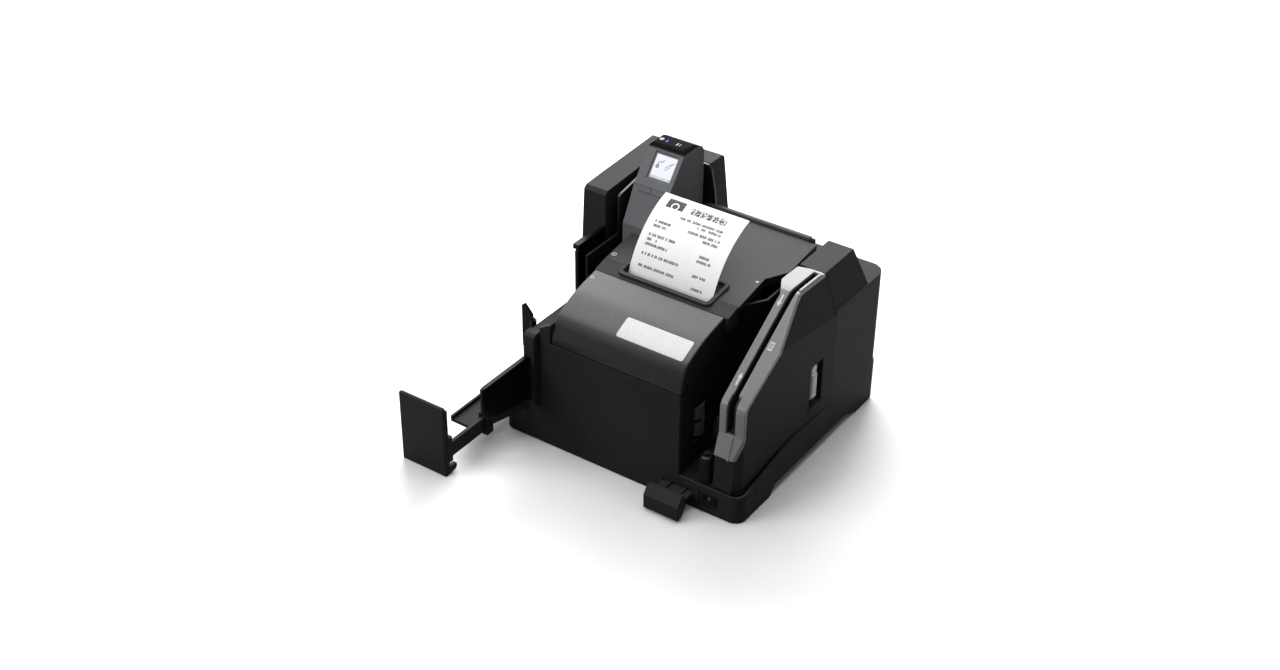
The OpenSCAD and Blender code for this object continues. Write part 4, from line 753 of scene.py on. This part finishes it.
def round_box(width, height, radius, centre=(0, 0), count=64):
    """Outline of a rounded rectangle: a point on a circle, moved out to its corner's centre."""
    turn = (np.arange(count) + 0.5) / count * 2 * np.pi
    unit = np.stack([np.cos(turn), np.sin(turn)], -1)
    corner = np.array([width / 2 - radius, height / 2 - radius])
    return np.asarray(centre) + evened(unit * radius + np.sign(unit) * corner, count)


print("a round box of 4 by 2 mm reaches", round_box(4, 2, 0.5).max(0).round(2))

# %% [markdown]
# ## The curved front cover
# The cover over the cutter is one smooth hood with side walls. Its profile passes through
# a few measured points; a cubic curve between them takes away the corners. At each step
# along the profile the section across is the same closed ring: up the outside of one
# wall, over to the other wall and down it, then back along the inside. Quarter circles
# round the two long edges.


# %% The profile of the cover
def smooth_line(points, per_span=8):
    """Cubic curve through points: each span uses the slopes towards the points beside it."""
    points = np.asarray(points, float)
    before, after = 2 * points[0] - points[1], 2 * points[-1] - points[-2]
    padded = np.concatenate([[before], points, [after]])
    p0, p1, p2, p3 = (p[:, None] for p in (padded[:-3], padded[1:-2], padded[2:-1], padded[3:]))
    t = np.linspace(0, 1, per_span, endpoint=False)[None, :, None]
    curve = 0.5 * (2 * p1 + (p2 - p0) * t + (2 * p0 - 5 * p1 + 4 * p2 - p3) * t ** 2
                   + (3 * p1 - p0 - 3 * p2 + p3) * t ** 3)
    return np.concatenate([curve.reshape(-1, 2), points[-1:]])


COVER_KNOTS = [[0.8, 101.1], [0.8, 104.5], [1.3, 108], [2.9, 112.6], [5.3, 118.6], [8.1, 122.6],
               [12.2, 125.9], [21, 130.1], [32.8, 134.7], [46, 137.8], [60.1, 140.6]]
COVER_FOOT = [[4.5, 101.1], [8, 101.1], [8, 106], [20, 106], [60.1, 119.5]]
COVER_STEPS = 90
COVER_LINE = along(smooth_line(COVER_KNOTS), COVER_STEPS)
foot_line = along(np.array(COVER_FOOT), COVER_STEPS)
heading = np.gradient(COVER_LINE, axis=0)
heading /= np.linalg.norm(heading, axis=1)[:, None]
inward = np.stack([heading[:, 1], -heading[:, 0]], -1)  # a quarter turn from the heading
print("cover profile", np.linalg.norm(np.diff(COVER_LINE, axis=0), axis=1).sum().round(1), "mm")

# %% The ring across the cover
COVER_WALL, EDGE_ROUND, SHARPEST = 2.2, 1.6, math.radians(35)


def cover_ring(left, right_x):
    """Places across, and depths below the outer skin, once round; inf marks the foot.

    A quarter circle of radius EDGE_ROUND has gone in by 1 - cos of its angle and is
    still 1 - sin below the skin.
    """
    quarter = np.linspace(0, np.pi / 2, 6)
    inset, drop = EDGE_ROUND * (1 - np.cos(quarter)), EDGE_ROUND * (1 - np.sin(quarter))
    across = np.concatenate([[left], left + inset, right_x - inset[::-1],
                             [right_x, right_x - COVER_WALL, right_x - COVER_WALL,
                              left + COVER_WALL, left + COVER_WALL]])
    depth = np.concatenate([[np.inf], drop, drop[::-1],
                            [np.inf, np.inf, COVER_WALL, COVER_WALL, np.inf]])
    return across, depth


cover_low, cover_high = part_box("front_cover")
cover_sides = (np.array([cover_low.x, cover_high.x]) - ZERO[0]) / MM
ring_across, ring_depth = cover_ring(*cover_sides)
at_foot = np.isinf(ring_depth)
sunk = np.where(at_foot, 0, ring_depth)
section = COVER_LINE[:, None] + inward[:, None] * sunk[None, :, None]
section = np.where(at_foot[None, :, None], foot_line[:, None], section)
places_across = np.broadcast_to(ring_across[None, :, None], (COVER_STEPS, len(ring_across), 1))
curved_cover = shell("curved_front_cover", np.concatenate([places_across, section], -1), COVER,
                     "front_cover", caps=True)
cover_faces = curved_cover.data.polygons
side_counts = np.empty(len(cover_faces), np.intc)
cover_faces.foreach_get("loop_total", side_counts)
cover_faces.foreach_set("use_smooth", side_counts == 4)
curved_cover.data.set_sharp_from_angle(angle=SHARPEST)
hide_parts("front_cover")
print("front cover:", len(cover_faces), "faces")

# %% [markdown]
# ## The raised corner of the fascia
# Left of the curved cover the fascia stands higher and closes the end of the sloping
# side cover. It is a thin block: one outline seen from the front, carried back, with a
# slightly smaller ring in front so that the edge is rounded off.

# %% Fascia corner
CORNER_OUTLINE = np.array([[-76.4, 100.2], [-65.9, 100.2], [-65.9, 117.7], [-67.8, 117.7],
                           [-76.4, 112.2]])
# Each ring's share of the outline and its depth behind the housing's front.
CORNER_RINGS = ((1, 3.15), (1, 0.8), (0.96, 0.15))

corner_outline = evened(CORNER_OUTLINE, 90)
corner_middle = corner_outline.mean(0)
corner_rings = []
for share, depth in CORNER_RINGS:
    flat = corner_middle + (corner_outline - corner_middle) * share
    corner_rings.append(np.stack([flat[:, 0], np.full(len(flat), depth), flat[:, 1]], -1))
fascia_corner = shell("fascia_corner", np.array(corner_rings), CHARCOAL, "housing", caps=True,
                      smooth=False)
print("fascia corner:", len(fascia_corner.data.polygons), "faces")

# %% [markdown]
# ## Thin pieces on curved faces
# Labels and printed signs are flat outlines that lie on the machine's faces. The outline
# is drawn in its own two measures, a across and b along the face. A grid from an inner
# outline to an outer one fills it, and a second function lays each point on the face, so
# the label bends with it.

# %% Ways to lie on the machine
RAIL_FOOT, RAIL_HEAD = np.array([15, 106.7]), np.array([90, 156.5])
LID_FRONT, LID_HEIGHT, LID_SLOPE = 74.4, 144.4, 0.0468
SWITCH_FOOT, SWITCH_RISE = np.array([-0.4, 13.0]), np.array([1.4, 3.8])


def on_cover(a, b, height):
    """a runs across, b is the depth y at which the piece lies; height is along the normal."""
    z = np.interp(b, COVER_LINE[:, 0], COVER_LINE[:, 1])
    slope = np.gradient(COVER_LINE[:, 1], COVER_LINE[:, 0])
    tilt = np.interp(b, COVER_LINE[:, 0], slope)
    length = np.sqrt(1 + tilt ** 2)
    return np.stack([a, b - height * tilt / length, z + height / length], -1)


def on_rail(a, b, height):
    """a runs across, b is the distance up the straight rail from its foot."""
    way = (RAIL_HEAD - RAIL_FOOT) / np.linalg.norm(RAIL_HEAD - RAIL_FOOT)
    return np.stack([a, RAIL_FOOT[0] + b * way[0] - height * way[1],
                     RAIL_FOOT[1] + b * way[1] + height * way[0]], -1)


def on_lid(a, b, height):
    """The roll cover's top rises by LID_SLOPE for each millimetre of depth b."""
    return np.stack([a, b, LID_HEIGHT + (b - LID_FRONT) * LID_SLOPE + height], -1)


def on_switch(a, b, height):
    """The switch's upper face leans back by 1.4 mm over its 3.8 mm; b is the height z."""
    share = (b - SWITCH_FOOT[1]) / SWITCH_RISE[1]
    return np.stack([a, SWITCH_FOOT[0] + share * SWITCH_RISE[0] - height, b], -1)


print("the rail's straight part is", round(math.dist(RAIL_FOOT, RAIL_HEAD), 1), "mm long")

# %% A plate with an outline
CLOSED = 0.02  # the share of the outline at which a plate without a hole starts


def plate(name, outline, lay, material, body, centre, hole=CLOSED, high=0.1, low=-0.05):
    """A thin closed plate: in from the outline over the top, and back along the bottom.

    Rows run from the middle ring out to the outline at the upper height, then back in at
    the lower height. A plate without a hole is closed by two small caps.
    """
    middle = np.asarray(centre, float)
    shares = np.linspace(hole, 1, 12)
    there_and_back = np.concatenate([shares, shares[::-1]])[:, None, None]
    flat = middle + (outline - middle) * there_and_back
    heights = np.repeat([high, low], len(shares))[:, None] * np.ones(len(outline))
    grid = lay(flat[..., 0], flat[..., 1], heights)
    if hole > CLOSED:
        grid = np.concatenate([grid, grid[:1]])
    return shell(name, grid, material, body, caps=hole <= CLOSED, smooth=False)


def ink(name, colour, rough):
    """Printing ink: worn a little darker in soft patches, and almost smooth."""
    m = Finish(name)
    wear = m.noise(1.2, 3).step(0.3, 0.75)
    base = m.blend(wear, colour, tinted(colour, 0.82))
    return m.surface(Base_Color=base, Roughness=rough + wear * 0.08,
                     Normal=m.bump(0.1, 0.02, m.noise(0.3, 2)))


LABEL_INK = ink("label_satin", (0.60, 0.60, 0.61), 0.5)
SIGN_INK = ink("sign_ink", (0.55, 0.55, 0.56), 0.5)
LABEL_CENTRE, LABEL_SIZE = (21.0, 19.4), (62, 17.4)
plate("cover_label", round_box(*LABEL_SIZE, 1.8, LABEL_CENTRE, 192), on_cover, LABEL_INK,
      "front_cover", LABEL_CENTRE, high=0.14)
print("blank label:", LABEL_SIZE, "mm")

# %% [markdown]
# ## Printed signs
# Small signs tell the user what moves: a ring on the front cover, a ring with a bar and a
# cross on the roll cover, arrows on the rails that show which way a card is swiped with a
# card between them, and the ring and bar of a power switch. Each is ink of a tenth of a
# millimetre, so it is a plate with its own outline and not a picture on the cover.


# %% Signs on the covers
def sign(name, width, height, corner, centre, lay, body, hole=CLOSED, count=24,
         material=SIGN_INK, high=0.1):
    """A printed ring or bar: a rounded box, left open in the middle if it has a hole."""
    outline = round_box(width, height, corner, centre, count)
    return plate(name, outline, lay, material, body, centre, hole, high)


COVER_SIGN, LID_SIGN, LID_CROSS = (-61.9, 51.8), (-62.4, 83.1), (55.5, 112.2)
sign("cover_sign", 3.0, 3.0, 1.5, COVER_SIGN, on_cover, "front_cover", 0.7, 32)
sign("lid_sign", 4.4, 4.4, 2.2, LID_SIGN, on_lid, "roll_cover", 0.8, 32)
sign("lid_sign_bar", 0.5, 2.2, 0.24, LID_SIGN, on_lid, "roll_cover")
for number, turn in enumerate((math.pi / 4, -math.pi / 4)):
    turned_by = np.array([[math.cos(turn), math.sin(turn)], [-math.sin(turn), math.cos(turn)]])
    bar = round_box(0.6, 3.4, 0.28, count=24) @ turned_by + LID_CROSS
    plate(f"lid_cross_{number}", bar, on_lid, SIGN_INK, "roll_cover", LID_CROSS,
          high=0.1 + 0.03 * number)
print("signs on the covers at", COVER_SIGN, LID_SIGN, LID_CROSS)


# %% Signs on the rails and the switch
def arrow(name, x, b, way, length=11):
    """Arrow up (way 1) or down (-1) the rail: shaft 1.5 wide, head 4 wide and 4.2 long."""
    half = length / 2
    half_outline = np.array([[0, half], [2.0, half - 4.2], [0.75, half - 4.2], [0.75, -half]])
    outline = np.concatenate([half_outline, half_outline[:0:-1] * [-1, 1]]) * way + [x, b]
    return plate(name, outline, on_rail, SIGN_INK, "door",
                 (x, b + way * (half - 4.4)))


CARD_X, CARD_B, SWITCH_X = 103.0, 49.5, 87.3
arrow("rail_arrow_down", 91.1, 87, -1)
arrow("rail_arrow_up", 92.4, 16, 1)
sign("card_sign_frame", 4.0, 7.4, 0.5, (CARD_X, CARD_B), on_rail, "door", 0.66, 40)
sign("card_sign_stripe", 0.7, 3.6, 0.2, (CARD_X + 0.2, CARD_B), on_rail, "door")
sign("switch_ring", 2.6, 2.6, 1.3, (SWITCH_X, 14.8), on_switch, "front_switch",
     0.72, 32, KEY, 0.12)
sign("switch_bar", 0.5, 1.5, 0.2, (SWITCH_X, 15.6), on_switch, "front_switch",
     material=KEY, high=0.15)
print("signs in pale ink:", sum(o.active_material == SIGN_INK for o in bpy.data.objects))

# %% [markdown]
# ## Screws
# Six screws hold the base plate and two the plate with the sockets. A pan head is a dome
# with a cross pressed in. Height is a function of place: the dome falls off with the
# fourth power of the distance from the axis, so it is nearly flat on top, and within the
# two bars of the cross it drops.

# %% Screw heads
DOME, FALL, CROSS_DEPTH, RIM = 1.5, 0.75, 0.9, 0.6
POINTS_ROUND, RINGS = 48, 22
BASE_SCREWS = ((-100, 62), (100, 62), (-100, 164), (100, 164), (0, 60), (0, 164))
PLATE_Z, PORT_SCREWS, PORT_Y, PORT_Z = 5.5, (-54.5, 5.5), 208.8, 15.6


def screw(name, x, y, z, into, radius=2.9, body="housing"):
    """A polar grid: a dome less a cross 1.1 mm wide, turned to the direction it faces."""
    turn = np.linspace(0, 2 * np.pi, POINTS_ROUND, endpoint=False)
    share = np.linspace(0.01, 1, RINGS)[:, None]
    across, up = radius * share * np.cos(turn), radius * share * np.sin(turn)
    in_bar = [np.clip((0.55 - abs(p)) / 0.2, 0, 1) * np.clip((1.75 - abs(q)) / 0.3, 0, 1)
              for p, q in ((across, up), (up, across))]
    height = DOME - FALL * share ** 4 - CROSS_DEPTH * np.maximum(*in_bar)
    across, up = (np.concatenate([v, v[-1:], v[-1:] * 0.96]) for v in (across, up))
    height = np.concatenate([height, np.array([[RIM], [0.0]]) * np.ones(POINTS_ROUND)])
    if into == "up":
        grid = np.stack([x + across, y + up, z - height], -1)
    else:
        grid = np.stack([x + across, y + height, z + up], -1)
    return shell(name, grid, STEEL, body, caps=True)


for number, (x, y) in enumerate(BASE_SCREWS):
    screw(f"base_screw_{number}", x, y, PLATE_Z, "up")
for number, x in enumerate(PORT_SCREWS):
    last_screw = screw(f"port_screw_{number}", x, PORT_Y, PORT_Z, "forward", 2.1)
print("a screw head has", len(last_screw.data.polygons), "faces")

# %% [markdown]
# ## Torsion spring
# A wound spring presses the feed arm against the cheques. Its wire is one tube: a
# straight leg, three and a half turns round the post, and a second leg. The middle line
# is worked out first, and a circle is then carried along it.


# %% A wire along a path
def tube(name, path, radius, material, body, sides=10):
    """A circle carried along a path: side = direction x up, and lift = side x direction."""
    way = np.gradient(path, axis=0)
    way /= np.linalg.norm(way, axis=1)[:, None]
    side = np.cross(way, [0, 0, 1.0])
    side /= np.linalg.norm(side, axis=1)[:, None]
    lift = np.cross(side, way)
    turn = np.linspace(0, 2 * np.pi, sides, endpoint=False)[None, :, None]
    grid = path[:, None] + radius * (np.cos(turn) * side[:, None] + np.sin(turn) * lift[:, None])
    return shell(name, grid, material, body, caps=True)


COIL_RADIUS, WIRE_RADIUS, TURNS = 4.1, 0.28, 3.5
COIL_POINTS, LEG_POINTS = 130, 12
spring_mm = (np.array(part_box("arm_spring")) - ZERO) / MM
post_x, post_y, leg_end = spring_mm[:, 0].mean(), spring_mm[0, 1] + 4.8, spring_mm[1, 1]
low_z, high_z = spring_mm[0, 2] + 0.45, spring_mm[1, 2] - 0.45
print("spring pitch", round((high_z - low_z) / TURNS, 2), "mm, wire", 2 * WIRE_RADIUS, "mm")

# %% Wound spring
wind = np.linspace(math.pi, math.pi + TURNS * 2 * math.pi, COIL_POINTS)
coil = np.stack([post_x + COIL_RADIUS * np.cos(wind), post_y + COIL_RADIUS * np.sin(wind),
                 np.linspace(low_z, high_z, COIL_POINTS)], -1)
out_along = np.linspace(leg_end - 0.5, post_y + 0.3, LEG_POINTS)[:, None]


def leg(x, steps, z):
    """A straight leg: x and z stay the same along it."""
    return np.hstack([np.full((LEG_POINTS, 1), x), steps, np.full((LEG_POINTS, 1), z)])


middle_line = np.concatenate([leg(post_x - COIL_RADIUS, out_along, low_z), coil,
                              leg(post_x + COIL_RADIUS, out_along[::-1], high_z)])
spring = tube("wound_spring", middle_line, WIRE_RADIUS, SPRING, "feed_arm")
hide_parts("arm_spring")
print("wound spring:", len(spring.data.polygons), "faces")

# %% [markdown]
# ## Studio
# The machine stands on a wide pale table. A weak lamp overhead lights the faces that look
# up, a large soft lamp behind gives the covers their sheen, and a weak one at the front
# left keeps the tower readable, so the faces towards the camera stay dark. The table's far
# part and the world are white when they are seen or mirrored, and give little light
# themselves, because a white room would wash the dark plastic out.


# %% Table
def directly_seen(m):
    """1 for rays that show a thing: from the camera, in reflections and through glass."""
    path = m.add("LightPath").socket.node.outputs
    rays = [Value(m, path[f"Is {kind} Ray"]) for kind in ("Camera", "Glossy", "Transmission")]
    return rays[0].most(rays[1]).most(rays[2])


def table(near_mm=480, far_mm=1300):
    """Pale where seen, darker for light that bounces off it, and white beyond far_mm."""
    m = Finish("pale_table")
    speckle = m.noise(2, 3) * 0.5 + m.noise(80, 2) * 0.5
    seen = directly_seen(m)
    x, y, z = m.position()
    far = distance(x, y).step(near_mm, far_mm)
    pale = m.blend(speckle, (0.86, 0.86, 0.86), (0.90, 0.90, 0.90))
    return m.surface(Base_Color=m.blend(seen, (0.22, 0.22, 0.22), pale), Roughness=0.7,
                     Specular_IOR_Level=0.1, Emission_Strength=1.0,
                     Emission_Color=m.blend(seen * far, (0, 0, 0), (1, 1, 1)))


TABLE_HALF = 6000.0
table_corners = np.array([[-1, -1, 0], [1, -1, 0], [1, 1, 0], [-1, 1, 0]]) * TABLE_HALF
table_mesh = bpy.data.meshes.new("table_top")
table_mesh.from_pydata(place(table_corners).tolist(), [], [(0, 1, 2, 3)])
table_mesh.materials.append(table())
table_top = bpy.data.objects.new("table_top", table_mesh)
bpy.context.scene.collection.objects.link(table_top)
print("table", 2 * TABLE_HALF * MM, "m wide")

# %% Lamps and air
MIDDLE = (0, 110, 80)
AIR_LIGHT = 0.16  # the world's share of the light; seen directly it is white


def lamp(name, where, size_m, watts):
    """A square area lamp at one point, turned so that it shines at the machine's middle."""
    light = bpy.data.lights.new(name, "AREA")
    light.shape, light.size, light.energy = "SQUARE", size_m, watts
    rig = bpy.data.objects.new(name, light)
    bpy.context.scene.collection.objects.link(rig)
    rig.location = place(where)
    away = Vector(place(where) - place(MIDDLE))
    rig.rotation_euler = away.to_track_quat("Z", "Y").to_euler()
    print(name, watts, "W from", round(away.length, 2), "m")


lamp("overhead", (-60, 200, 1400), 1.2, 14)
lamp("back_softbox", (-720, 1180, 860), 1.3, 44)
lamp("tower_fill", (-750, -1000, 900), 0.9, 12)
air = Finish("studio_air", bpy.data.worlds.new("studio_air"), "World")
bpy.context.scene.world = air.surface("Background", Color=(1.0, 1.0, 1.0),
                                      Strength=directly_seen(air) * (1 - AIR_LIGHT) + AIR_LIGHT)
bpy.context.scene.view_settings.view_transform = "Standard"

# %% [markdown]
